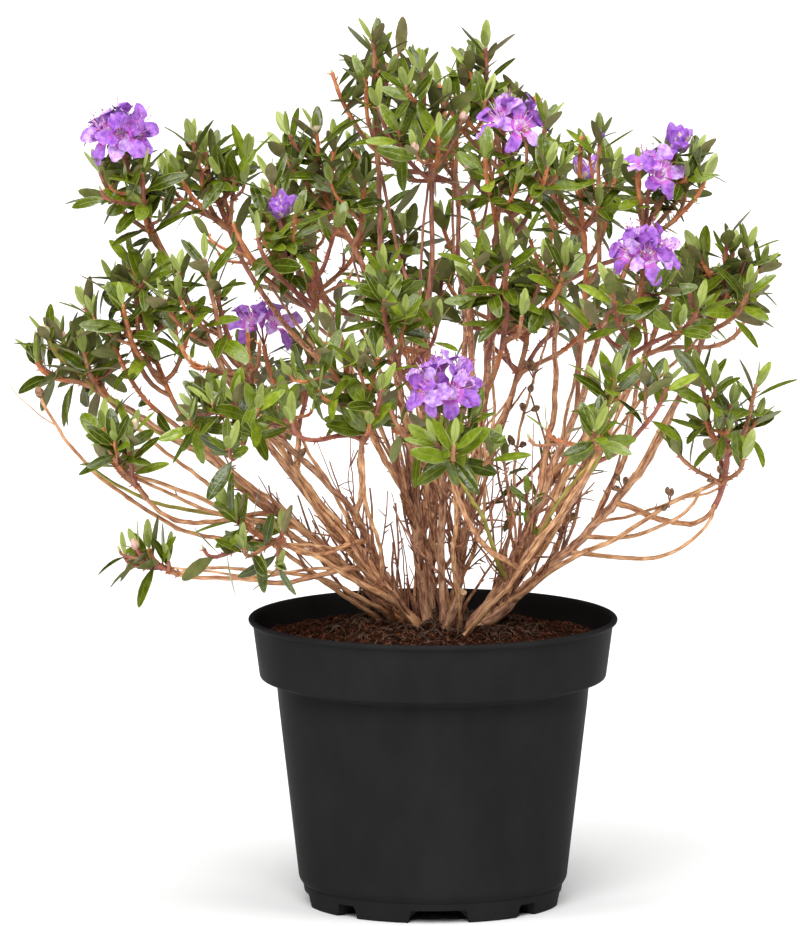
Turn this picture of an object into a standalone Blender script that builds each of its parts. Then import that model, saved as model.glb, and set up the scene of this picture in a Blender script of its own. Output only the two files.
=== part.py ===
"""Dwarf rhododendron in a round plastic nursery pot.

Metres, +Z up. The origin is on the pot's axis, on the ground under its flat floor.
The reference view looks along +Y: +X is to its right, and the back of the shrub is at +Y.
"""
import math
import random

import bmesh
import bpy
from mathutils import Vector
from mathutils.bvhtree import BVHTree

MM = 0.001
GAP = 0.3 * MM
UP = Vector((0.0, 0.0, 1.0))

# Pot: a five litre nursery pot with a rolled lip, a wide band and a notched foot
POT_HEIGHT = 180.0 * MM
LIP_RADIUS = 115.3 * MM
LIP_HEIGHT = 3.2 * MM
BAND_TOP_RADIUS = 113.0 * MM
BAND_FOOT_RADIUS = 107.8 * MM
BAND_FOOT_HEIGHT = 140.0 * MM
BODY_TOP_RADIUS = 97.4 * MM
BODY_TOP_HEIGHT = 136.5 * MM
BODY_FOOT_RADIUS = 83.9 * MM
BODY_FOOT_HEIGHT = 19.5 * MM
FOOT_RADIUS = 78.9 * MM
WALL = 1.8 * MM
FLOOR = 2.2 * MM
POT_SIDES = 28

# Drainage channels under the pot, in turn wide and narrow: width on the ground and at the top
WIDE_CHANNEL = (34.0 * MM, 25.0 * MM)
NARROW_CHANNEL = (15.0 * MM, 9.0 * MM)
CHANNELS = 8
CHANNEL_START = 48.0 * MM
CHANNEL_HEIGHT = 8.0 * MM
CHANNEL_SKIN = 2.0 * MM
CHANNEL_TURN = math.radians(2.5)
RIB_END = 77.8 * MM

# Soil: a low mound with a flat crown that the stems stand on
SOIL_TOP = 176.0 * MM
SOIL_CROWN_RADIUS = 54.0 * MM
SOIL_EDGE_HEIGHT = 165.0 * MM
SOIL_SIDES = 14

# Stems, in millimetres and degrees: foot (x, y) on the soil, tip (x, y, z), slope at the foot
# and at the tip, diameter above the root flare and at the tip
STEMS = {
    "far_left": ((-24, 2), (-196, -6, 315), 52, 32, 8.0, 3.2),
    "left": ((-13, -15), (-101, -64, 304), 62, 32, 6.8, 3.2),
    "left_tall": ((-17, 19), (-158, -8, 392), 50, 66, 6.4, 3.2),
    "centre_left": ((-4, 3), (-46, 18, 403), 82, 64, 8.4, 3.4),
    "centre": ((7, -14), (-1, -30, 452), 80, 88, 6.0, 3.0),
    "centre_right": ((12, 15), (42, 4, 452), 80, 86, 7.6, 3.2),
    "right_tall": ((30, 10), (119, -6, 398), 58, 68, 7.2, 3.4),
    "far_right": ((32, -9), (166, 2, 350), 40, 74, 8.6, 3.4),
    "front": ((22, -28), (97, -94, 286), 52, 56, 5.4, 3.0),
    "back": ((-1, 32), (-4, 128, 312), 62, 58, 7.2, 3.4),
}

# Boughs: the stem that carries each, where along it, then as for a stem from the tip on
BOUGHS = {
    "low_left": ("left", 0.27, (-158, -40, 213), -4, 14, 3.8, 2.6),
    "low_front": ("left", 0.38, (-90, -86, 238), 6, 34, 3.6, 2.6),
    "left_low": ("far_left", 0.46, (-178, -44, 262), 0, 56, 3.6, 2.6),
    "left_upper": ("centre_left", 0.50, (-122, 14, 410), 38, 66, 4.4, 2.8),
    "back_left": ("left_tall", 0.42, (-84, 84, 276), 22, 58, 4.2, 2.8),
    "top_left": ("centre", 0.50, (-34, 4, 462), 48, 88, 4.2, 2.8),
    "front_left": ("left", 0.48, (-44, -108, 300), 30, 66, 4.0, 2.8),
    "front": ("front", 0.40, (12, -126, 284), 20, 64, 3.8, 2.8),
    "back_top": ("centre_right", 0.42, (16, 78, 428), 44, 80, 4.6, 2.8),
    "right_flower": ("right_tall", 0.42, (120, -62, 345), 34, 70, 4.4, 2.8),
    "back_right_high": ("right_tall", 0.34, (78, 82, 366), 34, 70, 4.4, 2.8),
    "low_right": ("far_right", 0.50, (174, -46, 256), -10, 60, 4.4, 2.8),
    "back_right": ("far_right", 0.40, (128, 82, 314), 18, 64, 4.4, 2.8),
    "back_far_right": ("back", 0.45, (50, 132, 300), 26, 62, 4.4, 2.8),
    "back_left_high": ("back", 0.38, (-66, 90, 360), 40, 70, 4.6, 2.8),
}
DEAD_TWIG = ("far_left", 0.30, (-243, -26, 322), -4, 68, 3.2, 1.8)
CAPSULE_LENGTH = 8.0 * MM
CAPSULE_RADIUS = 3.0 * MM
STEM_SIDES = 8
BOUGH_SIDES = 6
TWIG_SIDES = 3

# Shape shared by all limbs: reach of a curve's handles and size of its sway, as shares of its
# span, the half waves of its sideways and upright sway, the share that is upright, the step
# between its rings, the power that its taper follows, and the root flare
HANDLE = 0.36
SWAY = 0.016
SWAY_WAVES = (2.3, 3.1)
UPRIGHT_SWAY = 0.6
TAPER = 0.8
RING_STEP = 30.0 * MM
FOOT_RINGS = (0.15, 0.45)
ROOT_FLARE = 0.75
FLARE_HEIGHT = 9.0 * MM
FOOT_DEPTH = 10.0 * MM

# Foliage masses: the limb that carries it, where on that limb (1 is its tip), the top of its
# leading shoot (x, y, z), how far its side shoots spread, their number, and the blossom that
# some shoots end in, by the shoot's number (0 is the leading one)
MASSES = {
    "top_left": ("bough_top_left", 1, (-36, 6, 531), 26, 4, {}),
    "top_centre": ("stem_centre", 1, (-8, -34, 512), 30, 4, {}),
    "top_right": ("stem_centre_right", 1, (31, 12, 526), 30, 4, {}),
    "upper_left": ("stem_centre_left", 1, (-76, 26, 466), 34, 4, {}),
    "left_truss": ("stem_left_tall", 1, (-192, -18, 474), 22, 4, {0: "truss"}),
    "left_high": ("bough_left_upper", 1, (-142, 22, 468), 26, 4, {}),
    "upper_right_flower": ("stem_centre_right", 0.60, (49, -46, 484), 32, 4, {0: "flower"}),
    "upper_right": ("stem_right_tall", 0.62, (92, 20, 478), 36, 4, {}),
    "right_high": ("stem_right_tall", 1, (150, -4, 474), 30, 4, {0: "flower", 2: "flower"}),
    "right": ("stem_far_right", 1, (186, 4, 408), 34, 5, {}),
    "right_flower": ("bough_right_flower", 1, (129, -74, 408), 34, 4, {0: "truss"}),
    "centre_right_front": ("stem_centre_right", 0.42, (45, -82, 420), 38, 4, {}),
    "centre_left_front": ("stem_centre", 0.44, (-30, -92, 403), 36, 4, {}),
    "small_flower": ("stem_centre_left", 0.58, (-93, -48, 438), 34, 4, {0: "flower"}),
    "left": ("stem_far_left", 0.60, (-186, -12, 396), 34, 4, {}),
    "far_left": ("stem_far_left", 1, (-230, 6, 354), 20, 4, {}),
    "left_low": ("bough_left_low", 1, (-204, -52, 306), 20, 3, {}),
    "left_mid": ("stem_left", 0.72, (-134, -78, 400), 36, 4, {}),
    "left_front": ("stem_left", 1, (-122, -110, 332), 34, 4, {}),
    "front_left": ("bough_front_left", 1, (-54, -134, 358), 36, 4, {}),
    "front_flower": ("bough_front", 1, (7, -150, 338), 34, 4, {0: "truss"}),
    "front_right": ("stem_front", 1, (108, -120, 350), 36, 4, {}),
    "low_right": ("bough_low_right", 1, (184, -50, 320), 32, 4, {}),
    "low_front": ("bough_low_front", 1, (-118, -98, 258), 30, 3, {}),
    "low_left": ("bough_low_left", 1, (-176, -42, 229), 14, 2, {}),
    "back_top": ("bough_back_top", 1, (6, 94, 492), 38, 4, {}),
    "back_left_high": ("bough_back_left_high", 1, (-86, 110, 432), 38, 4, {}),
    "back_right_high": ("bough_back_right_high", 1, (96, 106, 440), 40, 4, {0: "flower"}),
    "back_left": ("bough_back_left", 1, (-106, 114, 334), 38, 4, {0: "flower"}),
    "back_right": ("bough_back_right", 1, (154, 102, 386), 38, 4, {}),
    "back_mid": ("stem_back", 1, (-32, 168, 380), 38, 4, {}),
    "back_far_right": ("bough_back_far_right", 1, (62, 166, 370), 38, 4, {}),
}

# Branching rule: slopes of the leading shoot at its foot on a stem's side and at its tip, how far
# under its top the side shoots fork off, the least share of it that stays bare, and the ranges
# of a side shoot's fork, bearing, reach, drop and slopes
LEADER_RISES = (40.0, 80.0)
LEADER_STEPS = 4
SHOOT_LENGTH = 64.0 * MM
BARE_SHARE = 0.15
LOWEST_FORK = 0.10
FORK_RANGE = (-0.10, 0.12)
BEARING_RANGE = (-0.3, 0.3)
REACH_RANGE = (0.85, 1.15)
DROP_RANGE = (0.15, 1.0)
SHOOT_RISE_RANGE = (20.0, 45.0)
SHOOT_TIP_RISE = 72.0
SHOOT_STEPS = 2

# Foliage: twigs, then blades (leaves and petals: length, width, thickness), then the room that
# they keep, with the low and high corner of the crown
MASS_STEM_RADIUS = 1.9 * MM
SHOOT_RADIUS = 1.6 * MM
LEAVES_ON_LEADER = 5
LEAVES_ON_SHOOT = 4
LEAF_SIZE = (38.0 * MM, 16.0 * MM, 1.5 * MM)
LEAF_STEP = 5.0 * MM
FIRST_LEAF = 2.0 * MM
LEAF_TILT = 32.0
TILT_UNDER_BLOSSOM = 64.0
PETALS = {"truss": 6, "flower": 4}
PETAL_SIZE = (23.0 * MM, 17.0 * MM, 1.5 * MM)
PETAL_STEP = 1.5 * MM
PETAL_TILT = 24.0
TILT_STEP = 8.0
TILT_RANGE = (-6.0, 6.0)
ROLL_RANGE = (-0.3, 0.3)
GOLDEN_ANGLE = math.radians(137.5)
BLADE_SINK = 0.6 * MM
CLEARANCE = 0.5 * MM
SPACE_OVERLAP = 1.12
LEAF_REACH = 26.0 * MM
LEAF_MARGIN = 14.0 * MM
CROWN_LOW = Vector((-265.0, -200.0, 198.0)) * MM
CROWN_HIGH = Vector((227.0, 212.0, 564.0)) * MM
LEAF, SHOOT, PETAL = range(3)


def make_material(name, colour, roughness):
    """A plain finish of one colour."""
    material = bpy.data.materials.new(name)
    material.use_nodes = True
    shader = material.node_tree.nodes["Principled BSDF"]
    shader.inputs["Base Color"].default_value = (*colour, 1.0)
    shader.inputs["Roughness"].default_value = roughness
    shader.inputs["Metallic"].default_value = 0.0
    return material


def add_object(name, mesh, collection, *materials):
    """A new object for the mesh, in the collection, with its materials."""
    item = bpy.data.objects.new(name, mesh)
    collection.objects.link(item)
    for material in materials:
        mesh.materials.append(material)
    return item


def evaluated_mesh(item):
    """The shape of an object after its modifiers, as a new mesh."""
    bpy.context.view_layer.update()
    depsgraph = bpy.context.evaluated_depsgraph_get()
    return bpy.data.meshes.new_from_object(item.evaluated_get(depsgraph))


def settle(item):
    """Apply all modifiers of an object."""
    mesh = evaluated_mesh(item)
    item.modifiers.clear()
    item.data = mesh


def add_boolean(item, other, operation="DIFFERENCE"):
    """Cut the item with another object, or join that to it."""
    step = item.modifiers.new(operation.title(), "BOOLEAN")
    step.operation = operation
    step.solver = "EXACT"
    step.object = other


def turned(name, profile, sides, collection, material):
    """A turned shape: the profile (radius, height) swept once round the Z axis."""
    mesh = bpy.data.meshes.new(name)
    points = [(radius, 0.0, height) for radius, height in profile]
    mesh.from_pydata(points, [(i, i + 1) for i in range(len(points) - 1)], [])
    item = add_object(name, mesh, collection, material)
    screw = item.modifiers.new("Turn", "SCREW")
    screw.steps = sides
    screw.render_steps = sides
    screw.use_merge_vertices = True
    screw.merge_threshold = 0.01 * MM
    settle(item)
    item.data.shade_smooth()
    item.data.set_sharp_from_angle(angle=math.radians(35))
    return item


def inner_wall(height):
    """Radius of the pot's inner face at a height on its body or its band."""
    if height < BODY_TOP_HEIGHT:
        share = (height - BODY_FOOT_HEIGHT) / (BODY_TOP_HEIGHT - BODY_FOOT_HEIGHT)
        return BODY_FOOT_RADIUS + share * (BODY_TOP_RADIUS - BODY_FOOT_RADIUS) - WALL
    share = (height - BAND_FOOT_HEIGHT) / (POT_HEIGHT - BAND_FOOT_HEIGHT)
    return BAND_FOOT_RADIUS + share * (BAND_TOP_RADIUS - BAND_FOOT_RADIUS) - WALL


def radial_bar(name, ends, widths, levels, angle, collection):
    """A bar along a radius with a trapezium section, for a rib or a channel."""
    mesh = bpy.data.meshes.new(name)
    shape = bmesh.new()
    bmesh.ops.create_cube(shape, size=1.0)
    for vertex in shape.verts:
        outer = vertex.co.x > 0
        upper = vertex.co.z > 0
        vertex.co = Vector((ends[outer], widths[upper] * vertex.co.y, levels[upper]))
    shape.to_mesh(mesh)
    shape.free()
    item = add_object(name, mesh, collection)
    item.rotation_euler.z = angle
    item.hide_render = True
    item.display_type = "WIRE"
    return item


def make_pot(parts, cutters):
    """The pot: a turned wall, ribs on its floor, and drainage channels cut under them."""
    inside = [
        (0.0, FLOOR),
        (FOOT_RADIUS - 3 * WALL, FLOOR),
        (inner_wall(BODY_FOOT_HEIGHT) - 1.5 * WALL, 0.7 * BODY_FOOT_HEIGHT),
        (inner_wall(BODY_FOOT_HEIGHT), 1.15 * BODY_FOOT_HEIGHT),
        (inner_wall(BODY_TOP_HEIGHT - WALL), BODY_TOP_HEIGHT),
        (inner_wall(BAND_FOOT_HEIGHT) - WALL, BAND_FOOT_HEIGHT + 0.8 * WALL),
        (inner_wall(BAND_FOOT_HEIGHT + 3 * WALL), BAND_FOOT_HEIGHT + 3 * WALL),
        (BAND_TOP_RADIUS - WALL, POT_HEIGHT),
    ]
    outside = [
        (LIP_RADIUS - 0.5 * WALL, POT_HEIGHT),
        (LIP_RADIUS, POT_HEIGHT - 0.4 * LIP_HEIGHT),
        (LIP_RADIUS - 0.3 * WALL, POT_HEIGHT - LIP_HEIGHT),
        (BAND_TOP_RADIUS, POT_HEIGHT - 1.3 * LIP_HEIGHT),
        (BAND_FOOT_RADIUS, BAND_FOOT_HEIGHT + 2.6 * WALL),
        (BAND_FOOT_RADIUS - 1.4 * WALL, BAND_FOOT_HEIGHT + 0.6 * WALL),
        (BODY_TOP_RADIUS + 2.2 * WALL, BAND_FOOT_HEIGHT - 0.2 * WALL),
        (BODY_TOP_RADIUS, BODY_TOP_HEIGHT),
        (BODY_FOOT_RADIUS, BODY_FOOT_HEIGHT),
        (0.4 * BODY_FOOT_RADIUS + 0.6 * FOOT_RADIUS, 0.5 * BODY_FOOT_HEIGHT),
        (FOOT_RADIUS, 0.0),
        (0.0, 0.0),
    ]
    plastic = make_material("black_plastic", (0.02, 0.02, 0.021), 0.45)
    pot = turned("pot", inside + outside, POT_SIDES, parts, plastic)
    channels = []
    for i in range(CHANNELS):
        widths = NARROW_CHANNEL if i % 2 else WIDE_CHANNEL
        angle = i * math.tau / CHANNELS + CHANNEL_TURN
        rib = radial_bar("rib", (CHANNEL_START - CHANNEL_SKIN, RIB_END),
                         [width + 2 * CHANNEL_SKIN for width in widths],
                         (0.3 * FLOOR, CHANNEL_HEIGHT + CHANNEL_SKIN), angle, cutters)
        add_boolean(pot, rib, "UNION")
        channels.append(radial_bar("channel", (CHANNEL_START, LIP_RADIUS), widths,
                                   (-CHANNEL_SKIN, CHANNEL_HEIGHT), angle, cutters))
    for channel in channels:
        add_boolean(pot, channel)


def make_soil(parts):
    """Peat that fills the pot from the ribs to a low mound, clear of the wall."""
    shoulder = inner_wall(BODY_TOP_HEIGHT - WALL)
    rib_top = CHANNEL_HEIGHT + CHANNEL_SKIN
    profile = [
        (0.0, SOIL_TOP),
        (SOIL_CROWN_RADIUS, SOIL_TOP),
        (0.72 * BAND_TOP_RADIUS, 0.35 * SOIL_TOP + 0.65 * SOIL_EDGE_HEIGHT),
        (inner_wall(SOIL_EDGE_HEIGHT) - GAP, SOIL_EDGE_HEIGHT),
        (inner_wall(BAND_FOOT_HEIGHT + 3 * WALL) - 2 * GAP, BAND_FOOT_HEIGHT + 3 * WALL),
        (shoulder - GAP, BODY_TOP_HEIGHT + 2 * WALL),
        (shoulder - 2 * GAP, BODY_TOP_HEIGHT - WALL),
        (inner_wall(BODY_FOOT_HEIGHT) - 2 * GAP, 1.2 * BODY_FOOT_HEIGHT),
        (FOOT_RADIUS - 4 * WALL, rib_top + GAP),
        (0.0, rib_top + GAP),
    ]
    peat = make_material("peat", (0.045, 0.022, 0.013), 0.95)
    turned("soil", profile, SOIL_SIDES, parts, peat)


def slope(heading, degrees):
    """Unit direction that rises by an angle along a level heading."""
    angle = math.radians(degrees)
    return heading * math.cos(angle) + UP * math.sin(angle)


def curve_between(start, tip, foot_rise, tip_rise, phase, count):
    """Cubic curve that leaves the start and reaches the tip at two slopes, with a gentle sway."""
    heading = Vector((tip.x - start.x, tip.y - start.y, 0.0)).normalized()
    side = UP.cross(heading)
    span = (tip - start).length
    first = start + slope(heading, foot_rise) * span * HANDLE
    second = tip - slope(heading, tip_rise) * span * HANDLE
    points = []
    for i in range(count + 1):
        t = i / count
        s = 1.0 - t
        point = start * s ** 3 + first * 3 * s * s * t + second * 3 * s * t * t + tip * t ** 3
        fade = math.sin(math.pi * t) * SWAY * span
        sway = fade * math.sin(phase + SWAY_WAVES[0] * math.pi * t)
        dip = fade * math.sin(2 * phase + SWAY_WAVES[1] * math.pi * t) * UPRIGHT_SWAY
        points.append(point + side * sway + UP * dip)
    return points


def place_on(path, share):
    """Point at a share of the steps of a path."""
    place = share * (len(path) - 1)
    index = min(int(place), len(path) - 2)
    return path[index].lerp(path[index + 1], place - index)


def back_along(path, distance):
    """Point and direction on a path at a distance before its tip."""
    for i in range(len(path) - 1, 0, -1):
        step = path[i] - path[i - 1]
        if distance <= step.length or i == 1:
            return path[i] - step.normalized() * distance, step.normalized()
        distance -= step.length


def limb_radii(run, foot_diameter, tip_diameter, flare):
    """Radius at each point of a limb: an even taper, with the flare of a root on a stem."""
    lengths = [(b - a).length for a, b in zip(run, run[1:])]
    radii = []
    for i, point in enumerate(run):
        share = sum(lengths[:i]) / sum(lengths)
        radius = 0.5 * MM * (foot_diameter + (tip_diameter - foot_diameter) * share ** TAPER)
        height = max(point.z - SOIL_TOP, 0.0)
        radii.append(radius * (1.0 + flare * math.exp(-height / FLARE_HEIGHT)))
    return radii


def section_guide():
    """The section of a three-sided twig, one millimetre in radius."""
    curve = bpy.data.curves.new("section", "CURVE")
    spline = curve.splines.new("POLY")
    spline.points.add(TWIG_SIDES - 1)
    for i, control in enumerate(spline.points):
        angle = i * math.tau / TWIG_SIDES
        control.co = (MM * math.cos(angle), MM * math.sin(angle), 0.0, 1.0)
    spline.use_cyclic_u = True
    guide = bpy.data.objects.new("section", curve)
    bpy.context.scene.collection.objects.link(guide)
    return guide


def tube(name, run, radii, sides, collection, *materials, swell=0.0):
    """A tapering limb along a run of points: a bevelled curve made a mesh, its caps welded."""
    curve = bpy.data.curves.new(name, "CURVE")
    curve.dimensions = "3D"
    spline = curve.splines.new("POLY")
    spline.points.add(len(run) - 1)
    for control, point, radius in zip(spline.points, run, radii):
        control.co = (*point, 1.0)
        control.radius = (radius + swell) / MM
    guide = section_guide() if sides == TWIG_SIDES else None
    if guide:
        curve.bevel_mode = "OBJECT"
        curve.bevel_object = guide
    else:
        curve.bevel_depth = MM
        curve.bevel_resolution = sides // 2 - 2
    curve.use_fill_caps = True
    holder = bpy.data.objects.new(name, curve)
    collection.objects.link(holder)
    mesh = evaluated_mesh(holder)
    bpy.data.objects.remove(holder)
    if guide:
        bpy.data.objects.remove(guide)
    shape = bmesh.new()
    shape.from_mesh(mesh)
    bmesh.ops.remove_doubles(shape, verts=shape.verts, dist=0.001 * MM)
    bmesh.ops.recalc_face_normals(shape, faces=shape.faces)
    shape.to_mesh(mesh)
    shape.free()
    mesh.materials.clear()
    return add_object(name, mesh, collection, *materials)


def cut_level(item, height):
    """Cut off all of a limb below a level and close it with a flat face."""
    shape = bmesh.new()
    shape.from_mesh(item.data)
    geometry = shape.verts[:] + shape.edges[:] + shape.faces[:]
    bmesh.ops.bisect_plane(shape, geom=geometry, plane_co=(0, 0, height), plane_no=(0, 0, 1),
                           clear_inner=True)
    bmesh.ops.remove_doubles(shape, verts=shape.verts, dist=0.02 * MM)
    rim = [edge for edge in shape.edges if edge.is_boundary]
    bmesh.ops.contextual_create(shape, geom=rim)
    bmesh.ops.recalc_face_normals(shape, faces=shape.faces)
    shape.to_mesh(item.data)
    shape.free()


def keep_main_body(item):
    """Merge stray doubles, and drop loose scraps and the shells of sealed hollows."""
    shape = bmesh.new()
    shape.from_mesh(item.data)
    bmesh.ops.remove_doubles(shape, verts=shape.verts, dist=0.002 * MM)
    bmesh.ops.dissolve_degenerate(shape, edges=shape.edges, dist=0.001 * MM)
    groups = []
    seen = set()
    for face in shape.faces:
        if face in seen:
            continue
        group = [face]
        seen.add(face)
        for member in group:
            neighbours = {other for edge in member.edges for other in edge.link_faces}
            group.extend(neighbours - seen)
            seen |= neighbours
        groups.append(group)
    groups.sort(key=len)
    scraps = [face for group in groups[:-1] for face in group]
    bmesh.ops.delete(shape, geom=scraps, context="FACES")
    shape.to_mesh(item.data)
    shape.free()


def limb_phase(name):
    """A fixed number for each name, which sets how its limb sways."""
    return sum(ord(letter) * (i + 3) for i, letter in enumerate(name)) % 628 / 100.0


def limb_path(name, start, tip, foot_rise, tip_rise):
    """Middle line of a limb, from its start to its tip in millimetres."""
    end = Vector(tip) * MM
    count = max(int((end - start).length / RING_STEP), 5)
    return curve_between(start, end, foot_rise, tip_rise, limb_phase(name), count)


def make_stem(name, foot, tip, foot_rise, tip_rise, foot_diameter, tip_diameter, parts, bark):
    """A stem with its root flare, cut flat where it stands on the soil."""
    start = Vector((foot[0] * MM, foot[1] * MM, SOIL_TOP + GAP))
    path = limb_path(name, start, tip, foot_rise, tip_rise)
    under = start + (start - path[1]).normalized() * FOOT_DEPTH
    rings = [path[0].lerp(path[1], share) for share in FOOT_RINGS]
    run = [under, start] + rings + path[1:]
    radii = limb_radii(run, foot_diameter, tip_diameter, ROOT_FLARE)
    stem = tube(name, run, radii, STEM_SIDES, parts, bark)
    cut_level(stem, SOIL_TOP + GAP)
    return path, run, radii


def make_bough(name, stem, share, tip, foot_rise, tip_rise, foot_diameter, tip_diameter,
               limbs, parts, cutters, bark):
    """A bough that starts inside its stem and is cut to seat round it with a thin gap."""
    start = place_on(limbs["stem_" + stem][0], share)
    path = limb_path(name, start, tip, foot_rise, tip_rise)
    radii = limb_radii(path, foot_diameter, tip_diameter, 0.0)
    bough = tube(name, path, radii, BOUGH_SIDES, parts, bark)
    seat_on_limb(bough, limbs["stem_" + stem], cutters)
    return path, path, radii


def seat_on_limb(item, limb, cutters):
    """Cut an item clear of the limb that carries it."""
    _, run, radii = limb
    cutter = tube("seat", run, radii, STEM_SIDES, cutters, swell=GAP)
    add_boolean(item, cutter)
    settle(item)
    keep_main_body(item)
    bpy.data.objects.remove(cutter)


def make_limbs(parts, cutters, bark):
    """Stems, boughs and the dead twig. Gives each limb's path, and its rings and their radii."""
    limbs = {}
    for name, sizes in STEMS.items():
        limbs["stem_" + name] = make_stem("stem_" + name, *sizes, parts, bark)
    for name, sizes in BOUGHS.items():
        limbs["bough_" + name] = make_bough("bough_" + name, *sizes, limbs, parts, cutters, bark)
    limbs["dead_twig"] = make_bough("dead_twig", *DEAD_TWIG, limbs, parts, cutters, bark)
    add_capsule(limbs["dead_twig"][0], parts, cutters, bark)
    return limbs


def add_capsule(path, parts, cutters, bark):
    """The dry seed capsule fused on the tip of the dead twig."""
    tip, axis = back_along(path, 0.0)
    mesh = bpy.data.meshes.new("capsule")
    shape = bmesh.new()
    bmesh.ops.create_uvsphere(shape, u_segments=6, v_segments=4, radius=1.0)
    turn = UP.rotation_difference(axis).to_matrix()
    centre = tip + axis * 0.3 * CAPSULE_LENGTH
    for vertex in shape.verts:
        x, y, z = vertex.co
        local = Vector((x * CAPSULE_RADIUS, y * CAPSULE_RADIUS, z * 0.5 * CAPSULE_LENGTH))
        vertex.co = centre + turn @ local
    shape.to_mesh(mesh)
    shape.free()
    capsule = add_object("capsule", mesh, cutters, bark)
    twig = parts.objects["dead_twig"]
    add_boolean(twig, capsule, "UNION")
    settle(twig)
    keep_main_body(twig)
    bpy.data.objects.remove(capsule)


def mass_shoots(name, limbs):
    """Paths of a mass's leading shoot and of its side shoots, by the seeded branching rule."""
    limb, share, top, spread, count, _ = MASSES[name]
    path = limbs[limb][0]
    chance = random.Random(name)
    top = Vector(top) * MM
    if share == 1:
        tip, along = back_along(path, 0.0)
        start = tip + along * GAP
        rise = math.degrees(math.asin(along.z))
    else:
        start = place_on(path, share)
        rise = LEADER_RISES[0]
    leader = curve_between(start, top, rise, LEADER_RISES[1], limb_phase(name), LEADER_STEPS)
    if share == 1:
        leader[1] = start + along * (leader[1] - start).length
    fork = max(1.0 - SHOOT_LENGTH / (top - start).length, BARE_SHARE)
    shoots = [leader]
    turn = chance.uniform(0.0, math.tau)
    for i in range(count):
        bearing = turn + i * math.tau / count + chance.uniform(*BEARING_RANGE)
        root = place_on(leader, max(fork + chance.uniform(*FORK_RANGE), LOWEST_FORK))
        out = spread * MM * chance.uniform(*REACH_RANGE)
        drop = spread * MM * chance.uniform(*DROP_RANGE)
        tip = top + Vector((math.cos(bearing) * out, math.sin(bearing) * out, -drop))
        rise = chance.uniform(*SHOOT_RISE_RANGE)
        phase = chance.uniform(0.0, math.tau)
        shoots.append(curve_between(root, tip, rise, SHOOT_TIP_RISE, phase, SHOOT_STEPS))
    return shoots


def spiral_frames(path, chance, count, first_tilt, first, step):
    """Roots and axes of blades in a spiral that opens from the tip of a shoot downwards."""
    turn = chance.uniform(0.0, math.tau)
    frames = []
    for i in range(count):
        place, axis = back_along(path, first + i * step)
        side = axis.cross(Vector((0.31, 0.95, 0.05))).normalized()
        other = axis.cross(side)
        angle = turn + i * GOLDEN_ANGLE
        radial = side * math.cos(angle) + other * math.sin(angle)
        tilt = math.radians(first_tilt + TILT_STEP * i + chance.uniform(*TILT_RANGE))
        along = (axis * math.cos(tilt) + radial * math.sin(tilt)).normalized()
        root = place - along * BLADE_SINK
        facing = axis - radial * 0.2
        frames.append(blade_frame(root, along, facing, chance.uniform(*ROLL_RANGE)))
    return frames


def blade_frame(root, along, facing, roll):
    """Root and axes of a blade that grows along one direction, faces another and is rolled."""
    across = facing.cross(along).normalized()
    normal = along.cross(across)
    rolled = across * math.cos(roll) + normal * math.sin(roll)
    return root, along, rolled, along.cross(rolled)


def placed_blade(frame, size, swell=0.0):
    """Corner points and faces of a blade: a flat four-sided cone, widest past its middle."""
    root, along, across, normal = frame
    length, width, thickness = (measure + swell for measure in size)
    shape = bmesh.new()
    bmesh.ops.create_cone(shape, cap_ends=True, segments=4, radius1=1.0, radius2=0.0, depth=1.0)
    bmesh.ops.remove_doubles(shape, verts=shape.verts, dist=0.1)
    for vertex in shape.verts:
        x, y, z = vertex.co
        if z > 0:
            x = 0.42
        elif abs(y) > abs(x):
            x = 0.55
        else:
            x = 0.5 + 0.5 * x
        height = (z + 0.5) * thickness - 0.5 * swell
        vertex.co = root + along * (x * length) + across * (0.5 * y * width) + normal * height
    bmesh.ops.recalc_face_normals(shape, faces=shape.faces)
    shape.verts.index_update()
    points = [vertex.co.copy() for vertex in shape.verts]
    faces = [[vertex.index for vertex in face.verts] for face in shape.faces]
    shape.free()
    return points, faces


def mesh_points(item):
    """Corner points and faces of an object at the origin."""
    points = [vertex.co.copy() for vertex in item.data.vertices]
    return points, [list(face.vertices) for face in item.data.polygons]


class Room:
    """What is already placed, to test that a new piece touches nothing but what carries it."""

    def __init__(self):
        self.placed = []

    def add(self, node, shoot, points, faces):
        """Remember a piece of a node, and the number of the shoot that it belongs to."""
        middle = sum(points, Vector()) / len(points)
        radius = max((point - middle).length for point in points)
        tree = BVHTree.FromPolygons(points, faces)
        self.placed.append((node, shoot, middle, radius, tree))

    def is_free(self, node, shoot, points, faces):
        """Whether a piece is clear of all but its own shoot, or all but its own node."""
        middle = sum(points, Vector()) / len(points)
        radius = max((point - middle).length for point in points)
        tree = BVHTree.FromPolygons(points, faces)
        for other, other_shoot, centre, reach, placed_tree in self.placed:
            if other == node and shoot in (None, other_shoot):
                continue
            if (centre - middle).length < radius + reach and tree.overlap(placed_tree):
                return False
        return True


def in_own_space(name, point, centres, margin=0.0):
    """Whether a point lies in the crown and nearer to its own mass than to any other, by size."""
    for low, value, high in zip(CROWN_LOW, point, CROWN_HIGH):
        if not low + margin < value < high - margin:
            return False
    middle, size = centres[name]
    own = (point - middle).length / size
    return all((point - other).length / reach * SPACE_OVERLAP >= own
               for other, reach in centres.values())


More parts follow.
